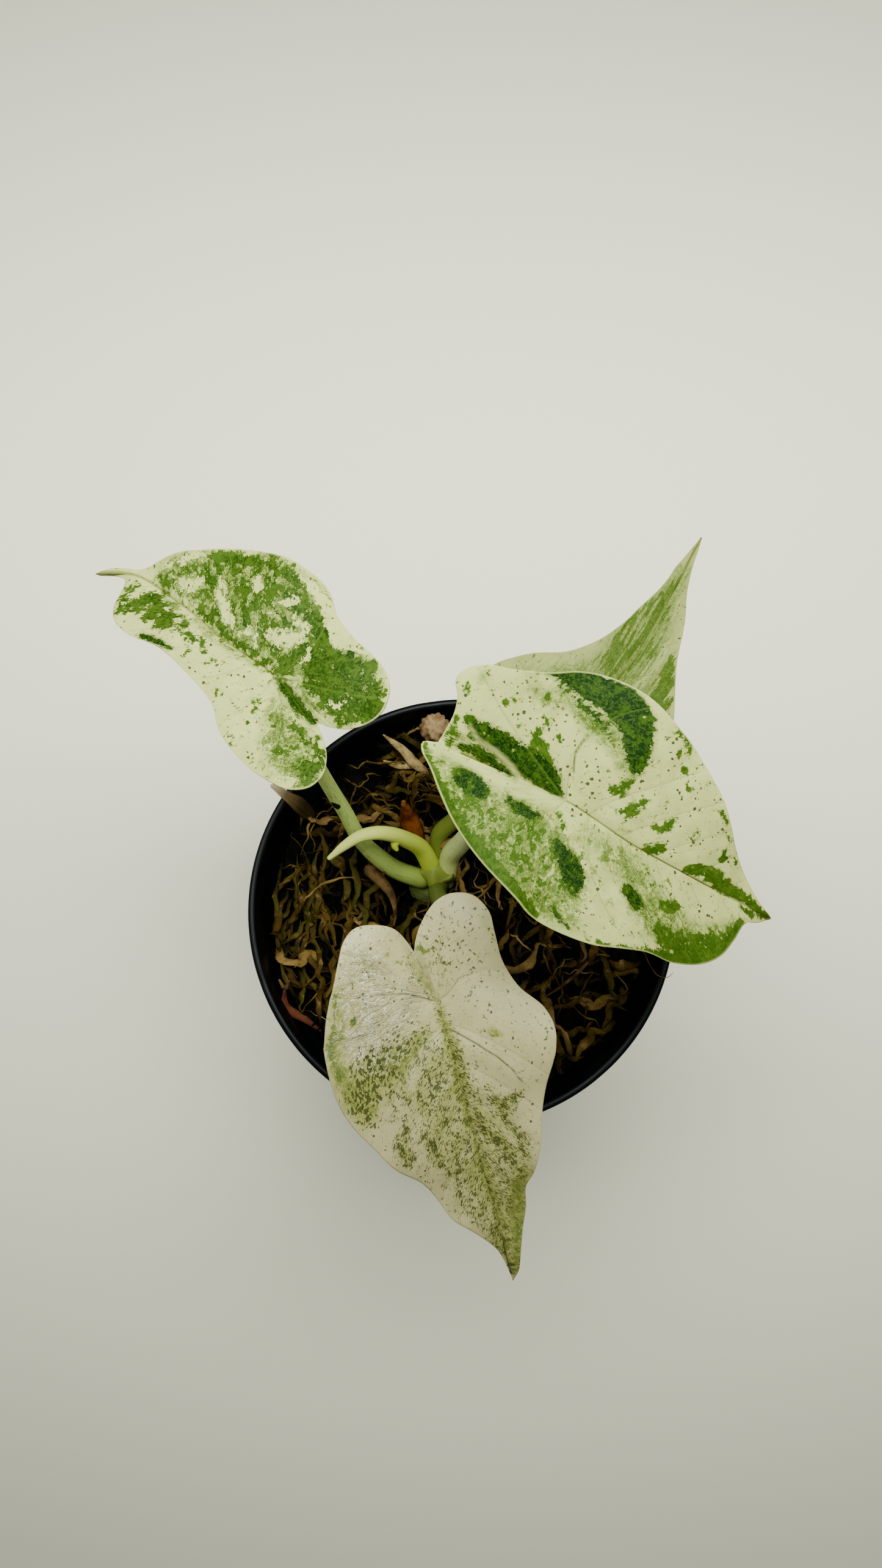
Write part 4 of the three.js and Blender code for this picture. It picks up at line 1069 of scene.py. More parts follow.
def back_blade() -> Blade:
    """The blade behind: misty green with a drawn-out pale tip."""
    wash, green, dark, cream = Tone.WASH, Tone.GREEN, Tone.DARK, Tone.CREAM
    strokes = (
        Stroke(wash, ((-12, 10, 6), (-4, 8, 7), (5, 2, 9), (15, 0, 7), (25, -0.6, 5), (34, -0.4, 3),
                      (41, 0, 1.4)), 1, 3),
        Stroke(wash, ((-12, -10, 6), (-4, -10, 7), (4, -6, 6)), 0.9, 3),
        Stroke(green, ((10, -2, 4), (18, -2, 4), (25, -2, 3.4), (32, -1.4, 2.4), (38, -0.6, 1.2)), 0.55, 2),
        Stroke(green, ((20, -3.6, 0.8), (25, -3.8, 0.9), (31, -2.8, 0.6)), 0.8, 1.2),
        Stroke(green, ((10, 3, 3), (18, 3, 3), (26, 2, 2.4), (34, 1, 1.4)), 0.47, 2),
        Stroke(green, ((36, 1, 0.3), (38.4, 0.7, 0.4)), 0.8, 0.8),
        Stroke(green, ((9, 9.4, 2), (12, 8.2, 2.2), (16, 7, 1.4), (20, 6, 0.7)), 0.95, 1.4),
        Stroke(green, ((-14, 8, 3), (-8, 12, 3), (-2, 10, 3)), 0.55, 3),
        Stroke(green, ((-14, -8, 3), (-8, -12, 3), (-1, -12, 2)), 0.5, 3),
        Stroke(cream, ((9, 3.4, 0.8), (13, 4.4, 0.9), (19, 4.6, 0.8), (25, 4, 0.9), (32, 2.6, 0.8),
                       (38, 1.4, 0.5)), 0.72, 1.6),
        Stroke(cream, ((12, -8.4, 1), (7, -10.6, 1.6), (2, -14.6, 1.8), (-3, -18.5, 1.4)), 0.78, 2),
        Stroke(dark, ((6.6, -11.4, 0.3), (6, -12.2, 0.3)), 0.9, 0.6),
        Stroke(green, ((1, -16.6, 0.4), (-2, -18, 0.4)), 0.8, 0.9),
    )
    left = Half(
        fold=(14, 14, 14, 14, 10),
        curl=(-16, -16, -16, -16, -16),
        edge=((52.2, 0), (49, 0.6), (44.6, 1.4), (40.6, 2), (37.2, 2.1), (32.9, 2.7), (27, 4.3),
              (21.3, 5.5), (14.6, 7.5), (8.5, 11), (3.2, 16.1), (-4, 20), (-9.5, 20), (-15, 18),
              (-19.5, 14.3), (-22, 10), (-21.3, 5.8), (-17.6, 2.6), (-13, 0)),
    )
    right = Half(
        fold=(14, 14, 14, 14, 10),
        curl=(-16, -16, -16, -16, -16),
        edge=((52.2, 0), (49, 0.4), (44.7, 0.9), (38.6, 2.1), (34.7, 3.1), (30.2, 4.5), (25.8, 5.8),
              (19.7, 7.7), (13.5, 10.6), (8.5, 13.6), (3, 16.4), (-3, 17.8), (-9.5, 17.4), (-15.5, 15),
              (-20, 11.4), (-21.6, 7.8), (-20, 4.6), (-16.6, 1.8), (-13, 0)),
    )
    midrib = ((14.6, 21.8, 109), (22.9, 31.7, 108), (31.7, 43.1, 106), (41.5, 59.3, 101), (49.7, 74.3, 95))
    tones = BladeTones(cream=(0.27, 0.29, 0.090), blush=(0.22, 0.24, 0.065), pale=(0.115, 0.155, 0.032),
                       leaf=(0.070, 0.105, 0.015), mid=(0.036, 0.066, 0.005))
    finish = BladeFinish(tones=tones, shift=29.0, rib_width=0.2, specks=0.1, streaky=0.70, tear=4.2,
                         lengthwise=True)
    return Blade("leaf_back", midrib, left, right, Ripple(0.6, 19, 2.8), 18, strokes, finish)


def front_blade() -> Blade:
    """The blade in front: nearly white, with olive grains along its midrib and towards its tip."""
    wash, mottle, green, cream = Tone.WASH, Tone.MOTTLE, Tone.GREEN, Tone.CREAM
    line, shine, dot = Tone.LINE, Tone.SHINE, Tone.DOT
    strokes = (
        # The glossy, wrinkled patch: low roughness, and glints painted on its wrinkle ridges as highlights.
        Stroke(shine, ((-12, 10, 4), (-7, 12, 5), (-1, 15, 5), (4, 14, 4.5)), 1, 3),
        Stroke(shine, ((-4, 5, 2), (1, 8, 2.5), (3, 12, 3)), 0.7, 2),
        Stroke(dot, ((-8, 14.4, 0.1),), 1, 0.12),
        Stroke(dot, ((-3.4, -8, 0.05),), 1, 0.1),
        Stroke(line, ((-0.6, 1, 0.03), (-4.5, 5.2, 0.04), (-7, 10, 0.03), (-7.6, 12.7, 0.01)), 0.8, 0.34),
        Stroke(line, ((5.5, -0.8, 0.03), (6.7, -2.3, 0.04), (9, -5, 0.05), (12, -8, 0.05),
                      (15, -10.3, 0.03), (18.4, -11.6, 0.01)), 0.9, 0.34),
        Stroke(line, ((-0.4, -1.5, 0.02), (-1.3, -3.7, 0.03), (-2.4, -5.4, 0.03), (-2.3, -8.5, 0.01),
                      (-1.7, -10, 0)), 0.8, 0.12),
        Stroke(dot, ((-7, -3.5, 0.02),), 0.8, 0.1),
        Stroke(mottle, ((11, 8, 8), (18, 4, 8), (27, 2, 9), (36, 0, 7), (46, -1, 4)), 0.49, 3),
        Stroke(wash, ((11, 8, 7), (18, 3, 7), (27, 1, 8), (36, 0, 6), (46, -1, 4)), 0.48, 3),
        Stroke(mottle, ((-9.6, 1.7, 1), (-5, 1.3, 1.3), (-1, 0.4, 1), (4, 0.2, 1.2), (8, -0.2, 2.2),
                        (13, -0.6, 2.7), (18, 0.2, 2.4), (24, 0.3, 1.8), (30, 0.2, 1.4), (36, 0.3, 1.3),
                        (42, 0.2, 1.6), (48, -0.4, 2), (54, -0.4, 1.6), (58, -0.3, 0.8)), 0.60, 1.6),
        Stroke(wash, ((-6, 1, 0.6), (1, 0.1, 0.8), (8, 0, 1.4), (14, -0.3, 1.8), (22, 0.3, 1.3),
                      (34, 0, 1.4), (48, -0.6, 1.8), (57, -0.4, 1)), 1, 1.6),
        Stroke(mottle, ((6, 4.6, 2), (8, 8, 3.4), (9, 12, 4), (10, 16, 4), (13, 18.5, 3)), 0.68, 2),
        Stroke(mottle, ((12, 5, 2.5), (14, 8, 2), (16, 8.6, 1.2)), 0.6, 1.6),
        Stroke(mottle, ((14, 18.2, 2.6), (17, 18.2, 1.6)), 0.66, 1.6),
        Stroke(wash, ((6, 5, 2), (8, 9, 3.4), (10, 13, 3.6), (12, 17, 3.6), (16, 18.5, 2)), 0.95, 2.4),
        Stroke(green, ((8, 6, 1), (9.6, 9.6, 1.3), (8.6, 12, 1)), 0.46, 2),
        Stroke(cream, ((11.4, 7.6, 0.5), (13.6, 8.8, 0.7)), 0.75, 1.4),
        Stroke(mottle, ((13, 3, 1.5), (16, 5, 1.4), (18.3, 8.2, 1.1)), 0.72, 1.2),
        Stroke(mottle, ((20.6, 12, 0.9), (23, 13.8, 1.6), (26.5, 13.2, 1.2)), 0.86, 1),
        Stroke(mottle, ((22, 9.2, 0.8), (25.5, 8.2, 1.4), (29.5, 7.6, 1.1)), 0.86, 1),
        Stroke(mottle, ((20.4, 4.6, 0.7), (22.5, 5.4, 0.9)), 0.8, 1),
        Stroke(mottle, ((26.5, 4, 0.8), (30, 4.7, 0.9), (34, 5.4, 0.9), (37, 5.6, 0.8)), 0.76, 1.2),
        Stroke(mottle, ((38, 5.4, 1.1), (40.5, 4.2, 1.4), (43, 2.6, 1.3)), 0.74, 1.4),
        Stroke(mottle, ((18, -5.2, 0.9),), 0.85, 1),
        Stroke(mottle, ((20.3, -5, 1.1), (21.5, -7.6, 1.6), (20.6, -10, 1)), 0.86, 1.1),
        Stroke(mottle, ((23, -6.2, 1.1), (25, -6.8, 1)), 0.82, 1),
        Stroke(mottle, ((22, -1.6, 1.2), (25.5, -2.4, 1.6), (28.5, -3.6, 2.1), (31, -5.2, 2.1),
                        (34, -6, 1.4)), 0.78, 1.3),
        Stroke(mottle, ((26.5, -7.4, 1.3), (29.5, -8.6, 1.4), (33, -8.2, 1)), 0.8, 1.2),
        Stroke(wash, ((20.8, -7, 1), (27, -5, 1.6), (33, -5.6, 1.4)), 0.7, 1.6),
        Stroke(mottle, ((36, -7, 1), (38.5, -5.4, 2), (42, -4.8, 2.2), (46, -3.8, 2), (50, -2.8, 1.6),
                        (55, -1.4, 1)), 0.95, 1.4),
        Stroke(green, ((38.5, -5.8, 1.3), (43, -4.6, 1.4), (48, -3.4, 1.2), (54, -1.6, 0.8)), 0.62, 1.4),
        Stroke(wash, ((36, -7, 2), (42, -4.6, 2.4), (48, -3, 2), (55, -1, 1.4)), 1, 1.6),
        Stroke(mottle, ((44, 2, 1.4), (48, 1.6, 1.3), (52, 0.8, 1)), 0.74, 1.4),
        Stroke(green, ((-10, 16.6, 0.5), (-6, 19.4, 0.8), (-1, 21.6, 1.2), (4, 22, 1.4), (9, 21, 1.4)),
               0.70, 1.4),
        Stroke(wash, ((-10, 16.4, 0.8), (-6, 18.8, 1.4), (0, 20.8, 2), (8, 21, 2.4), (14, 19, 2)), 1, 2),
        Stroke(green, ((-4.9, 15.8, 0.7), (-3.9, 16, 0.6)), 0.9, 1),
        Stroke(wash, ((7.3, -8.5, 0.9), (8.3, -9.5, 0.6)), 1, 1),
        Stroke(green, ((7.8, -8.2, 0.4), (8.6, -9.3, 0.3)), 0.7, 1),
        Stroke(green, ((-12.2, 4.8, 0.7), (-9, 3.2, 0.6)), 0.62, 1.4),
        Stroke(green, ((-10.6, -1.7, 0.8), (-9.4, -2.4, 0.6)), 0.85, 1.2),
        Stroke(mottle, ((-10, -3, 1.8), (-6, -3.8, 1.8), (-3, -2.6, 1)), 0.48, 2),
        Stroke(mottle, ((-13, -7, 2.5), (-7, -8, 3), (-1, -9, 2)), 0.26, 3),
        Stroke(wash, ((-9.6, -14.4, 1.4), (-6, -14.6, 1)), 0.7, 2),
        Stroke(wash, ((-13, 8.6, 1.4), (-10, 9, 1)), 0.6, 2),
    )
    left = Half(
        fold=(18, 18, 16, 14, 10),
        curl=(-22, -22, -20, -16, -8),
        edge=((59.4, 0), (57, 1.6), (51.6, 3.2), (47.6, 4.6), (43.5, 6.2), (39, 7.2), (36.3, 9.2),
              (30.5, 11.9), (25.9, 13.4), (20.4, 15.7), (13.6, 19.2), (9, 20), (5.6, 19), (1.6, 15.4),
              (-2, 14.3), (-6.5, 15.3), (-11.3, 16.2), (-15.2, 14.8), (-17.2, 11.2), (-17, 8), (-14.8, 4.2),
              (-12, 1.3), (-10, 0)),
    )
    right = Half(
        fold=(18, 18, 16, 14, 10),
        curl=(-22, -22, -20, -16, -8),
        edge=((59.4, 0), (54.6, 0.7), (51, 1.6), (47.8, 3.2), (44.6, 5.5), (41.3, 8.3), (35.1, 10.6),
              (31.6, 12.3), (27.6, 15.8), (22.9, 18.4), (17.2, 21.6), (11.8, 23), (4, 23.1), (-3, 22.4),
              (-6.8, 20.7), (-11, 16.8), (-15, 13.7), (-18.3, 10.8), (-19.4, 8), (-18.3, 4.5), (-15.8, 1.3),
              (-12.6, 0.3), (-10, 0)),
    )
    midrib = ((-9.4, -11.4, 100), (-5, -20.1, 98), (-1.8, -31.9, 96), (2.9, -48.4, 90), (9.8, -73.7, 78))
    tones = BladeTones(cream=(0.455, 0.405, 0.180), blush=(0.37, 0.335, 0.140), pale=(0.27, 0.285, 0.055),
                       leaf=(0.125, 0.155, 0.016), olive=(0.042, 0.049, 0.003), mid=(0.062, 0.095, 0.008),
                       fleck=(0.22, 0.24, 0.05))
    finish = BladeFinish(tones=tones, shift=41.0, rib_width=0.3, specks=0.08, gloss=0.45, specular=0.45,
                         crinkle=0.14, veins=0.05, outlined=0.1, rib=0.15)
    return Blade("leaf_front", midrib, left, right, Ripple(0.7, 20, 4), 21, strokes, finish)


@dataclass(frozen=True)
class StalkFinish(Finish):
    """Smooth, faintly streaked skin of a stalk that changes colour over its length in millimetres."""

    foot: Colour
    middle: Colour
    top: Colour
    length: float
    streak: Colour = (0.10, 0.16, 0.03)
    streaks: float = 0.5
    gloss: float = 0.42
    bumps: float = 0.06
    scar: Point | None = None

    def paint(self, nodes: Nodes) -> dict:
        """Builds the colour along the stalk, its streaks, its dust and its scar."""
        length, turn, _ = nodes.parts(nodes.stored("stalk"))
        place = nodes.place()
        colour = nodes.ramp(length / self.length, (0.0, self.foot), (0.35, self.middle), (1.0, self.top))
        angle = turn * math.tau
        ring = nodes.vector(angle.math("SINE") * 1.5, angle.math("COSINE") * 1.5, length * 0.16)
        lines = nodes.noise(ring, 2.2, 3, 0.6)
        colour = nodes.mix(lines.step(0.52, 0.72) * self.streaks, colour, self.streak)
        dust = nodes.noise(place, 900, 2, 0.6)
        colour = nodes.mix(dust.step(0.66, 0.74) * 0.35, colour, self.streak)
        if self.scar is not None:
            away = nodes.distance(place, tuple(value * MM for value in self.scar)) / MM
            mark = (away + (nodes.noise(place, 1100, 2, 0.6) - 0.5) * 1.6).step(1.25, 1.05)
            colour = nodes.mix(mark, colour, (0.006, 0.006, 0.002))
        return {"Base Color": colour, "Roughness": self.gloss, "Specular IOR Level": 0.18,
                "Normal": nodes.bump(lines, self.bumps)}


@dataclass(frozen=True)
class SpeckledFinish(Finish):
    """A dry surface of two mixed colours with a fine grain, for husk, straw and corm."""

    light: Colour
    shade: Colour
    scale: float = 400.0
    rough: float = 0.8
    depth: float = 0.15

    def paint(self, nodes: Nodes) -> dict:
        """Builds the mixed colours and the grain."""
        place = nodes.place()
        cloud = nodes.noise(place, self.scale, 4, 0.6)
        grain = nodes.noise(place, self.scale * 4, 2, 0.5)
        colour = nodes.mix(cloud.step(0.35, 0.65), self.shade, self.light)
        return {"Base Color": colour, "Roughness": self.rough, "Specular IOR Level": 0.08,
                "Normal": nodes.bump(grain + cloud, self.depth)}


@dataclass(frozen=True)
class Petiole:
    """A leaf stalk: where round the stem it stands in degrees, its radii, its way up and its skin."""

    turn: float
    radii: tuple[float, ...]
    route: tuple[Point, ...]
    finish: StalkFinish


# The first colour is the back stalk's olive foot, partly its own colour and partly painted shade.
SHADED_OLIVE, PALE, MILK = (0.13, 0.15, 0.016), (0.46, 0.56, 0.17), (0.52, 0.58, 0.22)
PETIOLES = {
    "right": Petiole(
        0, (2.2, 2.2, 1.95, 1.7, 1.5, 1.4, 1.35),
        ((-2.3, 11.7, 67), (-0.1, 13.4, 74), (2.3, 14.8, 83), (6.4, 16, 97), (10.7, 16.1, 109)),
        StalkFinish((0.50, 0.56, 0.13), (0.74, 0.78, 0.36), PALE, 72, streaks=0.2)),
    "left": Petiole(
        205, (2.2, 2.0, 1.65, 1.5, 1.4, 1.3, 1.3),
        ((-14.1, 8.7, 66), (-17.9, 10.8, 71), (-21.4, 13.7, 78), (-24, 18.1, 86), (-27, 22.6, 95),
         (-30.1, 28, 106), (-32.3, 33, 116)),
        StalkFinish((0.20, 0.26, 0.035), (0.54, 0.68, 0.17), PALE, 75, scar=(-25.6, 18.8, 89.9))),
    "back": Petiole(
        62, (2.1, 2.0, 1.8, 1.6, 1.5, 1.35, 1.3),
        ((-4.7, 16.2, 67), (-1.4, 18.8, 72), (5.5, 22.3, 84), (13.4, 27.1, 97)),
        # Its olive foot is partly its own colour and partly painted shade, for the shadow of the blades above
        # it.
        StalkFinish(SHADED_OLIVE, (0.17, 0.21, 0.03), PALE, 60)),
    "front": Petiole(
        290, (2.1, 2.0, 1.8, 1.65, 1.5, 1.35, 1.3),
        ((-5.2, 3.9, 64.5), (-3.6, -0.4, 70), (-2.7, -7.6, 81), (-3.7, -15.4, 92)),
        # Its foot and middle are partly its own olive and partly painted shade, for the shadow of the blades
        # above it.
        StalkFinish((0.06, 0.07, 0.008), (0.13, 0.16, 0.032), MILK, 50)),
}


@dataclass
class Stalks:
    """The leaf stalks, the new shoot, the brown sheath and the stem that they stand on.

    shoulder is the height of the feet, ring their distance from the middle of the stem, and upright
    how far they rise straight. seats are how far the last two points of a stalk lie below its blade.
    """

    centre: tuple[float, float] = (-5.8, 8.4)
    shoulder: float = 60.3
    ring: float = 3.0
    upright: float = 1.6
    seats: tuple[float, float] = (4.65, 0.35)
    corm: tuple[tuple[float, float], ...] = (
        (0, 17.2), (3, 15.5), (6.3, 11), (7.2, 6.5), (6.2, 2.2), (4.6, 0.1), (0, 0))
    roots: int = 5

    def foot(self, turn: float, ring: float | None = None) -> list[Point]:
        """The first two points of a route that stands on the stem.

        Args:
            turn: where round the stem it stands, in degrees.
            ring: how far from its middle, if not as far as the stalks.

        Returns:
            The foot and the point above it.
        """
        away = self.ring if ring is None else ring
        x = self.centre[0] + away * math.cos(math.radians(turn))
        y = self.centre[1] + away * math.sin(math.radians(turn))
        return [(x, y, self.shoulder), (x, y, self.shoulder + self.upright)]

    def petiole(self, name: str, stalk: Petiole, blade: Blade) -> bpy.types.Object:
        """Builds a leaf stalk from the stem to its blade.

        Args:
            name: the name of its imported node.
            stalk: its sizes.
            blade: the blade that it carries.

        Returns:
            The piece.
        """
        middle, _, normal, _ = blade.frame_at(np.array([0.0]))
        seat = [tuple(middle[0] - normal[0] * drop) for drop in self.seats]
        route = [*self.foot(stalk.turn), *stalk.route, *seat]
        body = Sweep(route, stalk.radii, steps=110, sides=28, lobes=14, lobe_depth=0.012)
        return join_sweeps(f"{name}_tube", (body, stalk.finish.material(f"{name} skin")))

    def shoot(self) -> bpy.types.Object:
        """Builds the rolled young leaf with its small tooth."""
        route = [*self.foot(0, 0), (-6.9, 10.4, 65), (-8.7, 12.9, 70), (-11.8, 13.8, 77), (-14.8, 14.1, 82),
                 (-17.8, 13.9, 85), (-20.8, 13.1, 86), (-24, 11.3, 85), (-26.7, 9.5, 83), (-27.7, 8.9, 82)]
        body = Sweep(route, (2.15, 2.1, 1.95, 1.8, 1.62, 1.4, 1.05, 0.5), steps=120, sides=28)
        tooth = Sweep(((-13.7, 13.3, 80.2), (-14.0, 12.1, 80), (-13.4, 10.9, 79.4)), (1.2, 0.8, 0.35), 16)
        finish = StalkFinish((0.38, 0.46, 0.025), (0.64, 0.74, 0.07), (0.72, 0.76, 0.20), 40,
                             (0.40, 0.54, 0.03), 0.3)
        skin = finish.material("new shoot skin")
        return join_sweeps("shoot_roll", (body, skin), (tooth, skin))

    def sheath(self) -> bpy.types.Object:
        """Builds the brown sheath that wraps the base of the stalks."""
        route = [*self.foot(124), (-9.9, 15.4, 65.5), (-11.2, 18.9, 72), (-12.3, 21.6, 80)]
        body = Sweep(route, (1.2, 1.6, 2.5, 2.4, 1.5, 0.4), sides=32, flat=0.85, lobes=9, lobe_depth=0.05)
        slit = Sweep(((-12.0, 20.4, 77.8), (-12.4, 21.2, 79.4), (-12.5, 21.5, 80.1)), (0.25, 0.55, 0.2), 10)
        husk = SpeckledFinish((0.24, 0.062, 0.010), (0.05, 0.008, 0.002), 230, 0.5)
        pith = SpeckledFinish((0.22, 0.11, 0.04), (0.14, 0.06, 0.02), 600)
        return join_sweeps("sheath_husk", (body, husk.material("brown husk")),
                           (slit, pith.material("pale slit")))

    def collar(self) -> bpy.types.Object:
        """Builds the pale lobed collar in which the stalks stand."""
        route = [*self.foot(0, 0.6), (-5.9, 8.9, 64.2), (-6.0, 9.3, 66.4)]
        body = Sweep(route, (4.0, 4.5, 4.1, 3.5, 2.2), steps=50, sides=60, lobes=5, lobe_depth=0.14)
        finish = StalkFinish((0.06, 0.065, 0.008), (0.12, 0.14, 0.018), (0.22, 0.28, 0.036), 8)
        return join_sweeps("stalk_collar", (body, finish.material("collar skin")))

    def stem(self) -> bpy.types.Object:
        """Builds the stem: the corm with its shoulder and its roots."""
        x, y = self.centre
        top = self.shoulder - 0.3
        corm, faces = lathe(smooth_line([(r, top - depth) for r, depth in self.corm], 24), 48)
        meshes = [(corm + (x, y, 0), faces)]
        for i in range(self.roots):
            turn = (i + 0.3) / self.roots * math.tau
            steps = zip((3, 6, 9, 9 - 2 * (i % 2)), (12, 18, 26, 36))
            route = [(x + away * math.cos(turn), y + away * math.sin(turn), top - depth)
                     for away, depth in steps]
            root = Sweep(route, (0.9, 0.9, 0.7, 0.4), steps=30, sides=12)
            meshes.append((root.points, root.faces))
        finish = SpeckledFinish((0.12, 0.15, 0.03), (0.06, 0.08, 0.02), 260, 0.6)
        return make_piece("stem_corm", *join_meshes(*meshes), finish.material("stem skin"))

    def build(self, blades: dict[str, Blade]) -> None:
        """Builds and declares every piece that grows from the stem, for the blades by their side."""
        for side, stalk in PETIOLES.items():
            name = f"petiole_{side}"
            declare(self.petiole(name, stalk, blades[side]), "stalk", name)
        declare(self.shoot(), "shoot", "new_shoot")
        declare(self.sheath(), "sheath", "brown_sheath")
        declare(self.collar(), "stalk")
        declare(self.stem(), "stem", "stem")


@dataclass(frozen=True)
class PlasticFinish(Finish):
    """Thin black moulded plastic with a soft sheen, fine scuffs and a little dust."""

    black: Colour = (0.0012, 0.0016, 0.0020)
    dust: Colour = (0.010, 0.012, 0.013)

    def paint(self, nodes: Nodes) -> dict:
        """Builds the dust, the scuffs and the varying sheen."""
        place = nodes.place()
        cloud = nodes.noise(place, 60, 4, 0.6)
        scuff = nodes.noise(nodes.stretch(place, (400, 400, 2600)), 1.0, 3, 0.7)
        return {"Base Color": nodes.mix(cloud.step(0.5, 0.75) * 0.35, self.black, self.dust),
                "Roughness": cloud * 0.25 + scuff.step(0.6, 0.75) * 0.12 + 0.28,
                "Specular IOR Level": 0.10, "Normal": nodes.bump(scuff, 0.02)}


@dataclass
class Pot:
    """The round nursery pot: a tapered wall, a collar that steps out, and a rolled lip.

    Each nick in the lip has its place in degrees, its half width in degrees and its depth.
    """

    height: float = 76
    lip_radius: float = 45
    lip_width: float = 1.6
    lip_depth: float = 4.6
    collar_radius: float = 44.1
    collar_foot: float = 67
    wall_top: float = 66.4
    wall_radius: float = 43.3
    base_radius: float = 30.6
    base_edge: float = 1.0
    wall: float = 1.2
    floor: float = 1.6
    segments: int = 200
    drain_count: int = 6
    drain_radius: float = 3
    drain_ring: float = 20
    nicks: tuple[Point, ...] = ((84, 1.6, 0.35), (98, 3.0, 0.22), (201, 2.0, 0.2), (310, 2.4, 0.25))

    def inner_radius(self, z: float) -> float:
        """The inside radius of the tapered wall at a height."""
        share = (z - self.base_edge) / (self.wall_top - self.base_edge)
        return self.base_radius + share * (self.wall_radius - self.base_radius) - self.wall

    def profile(self) -> list[tuple[float, float]]:
        """The section from the middle of the underside, out and up, over the lip and down inside."""
        r, z, collar, foot = self.lip_radius, self.height, self.collar_radius, self.collar_foot
        lip_foot = z - self.lip_depth
        outside = [(0, 0), (18, 0), (self.base_radius - 1.2, 0), (self.base_radius - 0.4, 0.25)]
        outside += [(self.inner_radius(h) + self.wall, h)
                    for h in np.linspace(self.base_edge, self.wall_top, 14)]
        outside += [(collar - 0.35, foot - 0.1), (collar, foot + 0.3), (collar, lip_foot - 0.7),
                    (r - 0.35, lip_foot - 0.35), (r, lip_foot + 0.1), (r, z - 1.2), (r, z - 0.55)]
        half = self.lip_width / 2
        lip = [(r - half + half * math.cos(t), z - 0.55 + 0.55 * math.sin(t))
               for t in np.radians(np.linspace(20, 160, 8))]
        inside = [(r - self.lip_width, z - 0.7), (collar - self.wall, z - 2.2),
                  (collar - self.wall, foot + 0.6)]
        inside += [(self.inner_radius(h), h) for h in (self.wall_top, 50, 34, 18, 6, 2.8)]
        inside += [(self.inner_radius(self.floor) - 1.2, self.floor), (16, self.floor), (0, self.floor)]
        return outside + lip + inside

    def build(self) -> bpy.types.Object:
        """Builds the pot with its nicked lip and its drain holes.

        Returns:
            The piece.
        """
        points, faces = lathe(self.profile(), self.segments)
        angle = np.degrees(np.arctan2(points[:, 1], points[:, 0]))
        on_lip = np.clip((points[:, 2] - self.height + 2.5) / 2.0, 0, 1)
        for at, wide, depth in self.nicks:
            away = (angle - at + 180) % 360 - 180
            points[:, 2] -= depth * np.exp(-((away / wide) ** 2)) * on_lip
        piece = make_piece("pot_shell", points, faces, PlasticFinish().material("black plastic"))
        self._drill(piece)
        return piece

    def _drill(self, piece: bpy.types.Object) -> None:
        """Cuts the drain holes through the floor of the pot."""
        cutters = []
        for i in range(self.drain_count):
            turn = i / self.drain_count * math.tau
            place = Vector((math.cos(turn), math.sin(turn), 0)) * self.drain_ring * MM
            bpy.ops.mesh.primitive_cylinder_add(vertices=40, radius=self.drain_radius * MM, depth=8 * MM,
                                                location=place)
            cutters.append(bpy.context.object)
            cut = piece.modifiers.new("drain", "BOOLEAN")
            cut.operation = "DIFFERENCE"
            cut.solver = "EXACT"
            cut.object = cutters[-1]
        bake(piece)
        for cutter in cutters:
            bpy.data.objects.remove(cutter, do_unlink=True)


@dataclass(frozen=True)
class MossFinish(Finish):
    """Old sphagnum: olive, brown, ochre and tan strands, with painted shade that darkens them towards the bed
    below them.
    """

    olive: Colour = (0.040, 0.037, 0.0035)
    brown: Colour = (0.046, 0.024, 0.0035)
    ochre: Colour = (0.105, 0.064, 0.0095)
    tan: Colour = (0.220, 0.130, 0.040)
    # deep is painted shade: the near-black of strands that lie low on the bed, and of the bed itself.
    deep: Colour = (0.0010, 0.0007, 0.0002)

    def paint(self, nodes: Nodes) -> dict:
        """Mixes the colours by the strand's tint and its place, and paints shade by how high it stands above
        the bed.
        """
        place = nodes.place()
        tint, high = (Value(nodes, nodes.stored(name, "Fac")) for name in ("tint", "high"))
        region = nodes.noise(place, 110, 2, 0.5)
        colour = nodes.ramp(tint + (region - 0.5) * 0.9, (0.0, self.olive), (0.38, self.brown),
                            (0.66, self.ochre), (0.95, self.tan))
        streak = nodes.noise(place, 700, 3, 0.6)
        colour = nodes.mix(streak.step(0.45, 0.7) * 0.45, colour, self.brown)
        pale = nodes.noise(place, 420, 2, 0.5)
        # Pale tan flecks only on strands that stand high: partly the moss's own colour, partly painted light
        # on the top strands.
        colour = nodes.mix(pale.step(0.58, 0.72) * high.step(0.5, 1.0) * 0.5, colour, self.tan)
        # Painted shade: strands turn near-black as they sink towards the bed, where the strands above shade
        # them.
        colour = nodes.mix(high.step(1.0, 0.25), colour, self.deep)
        return {"Base Color": colour, "Roughness": 0.7, "Specular IOR Level": 0.06,
                "Normal": nodes.bump(streak, 0.10)}


# How far from the axis the strands may reach, and how high above the bed the painted shade on them ends.
POT_REACH = 40.6
PAINTED_SHADE_HEIGHT = 3.2


@dataclass(frozen=True)
class MossStyle:
    """One kind of strand that Geometry Nodes lay over the moss.

    Its bends lie bend_scale to the millimetre. The strands head along heading, give or take spread,
    in radians, and grow within reach of the centre. tint is the range that their colour is drawn from.
    """

    name: str
    count: int
    seed: int
    length: float
    width: float
    arch: float
    lift: float
    wander: float
    bend_scale: float
    leaf_length: float
    leaf_gap: float
    heading: float = 0.0
    spread: float = 3.1416
    centre: Point = (0.0, 0.0, 66.0)
    reach: float = 40.0
    tint: tuple[float, float] = (0.0, 1.0)


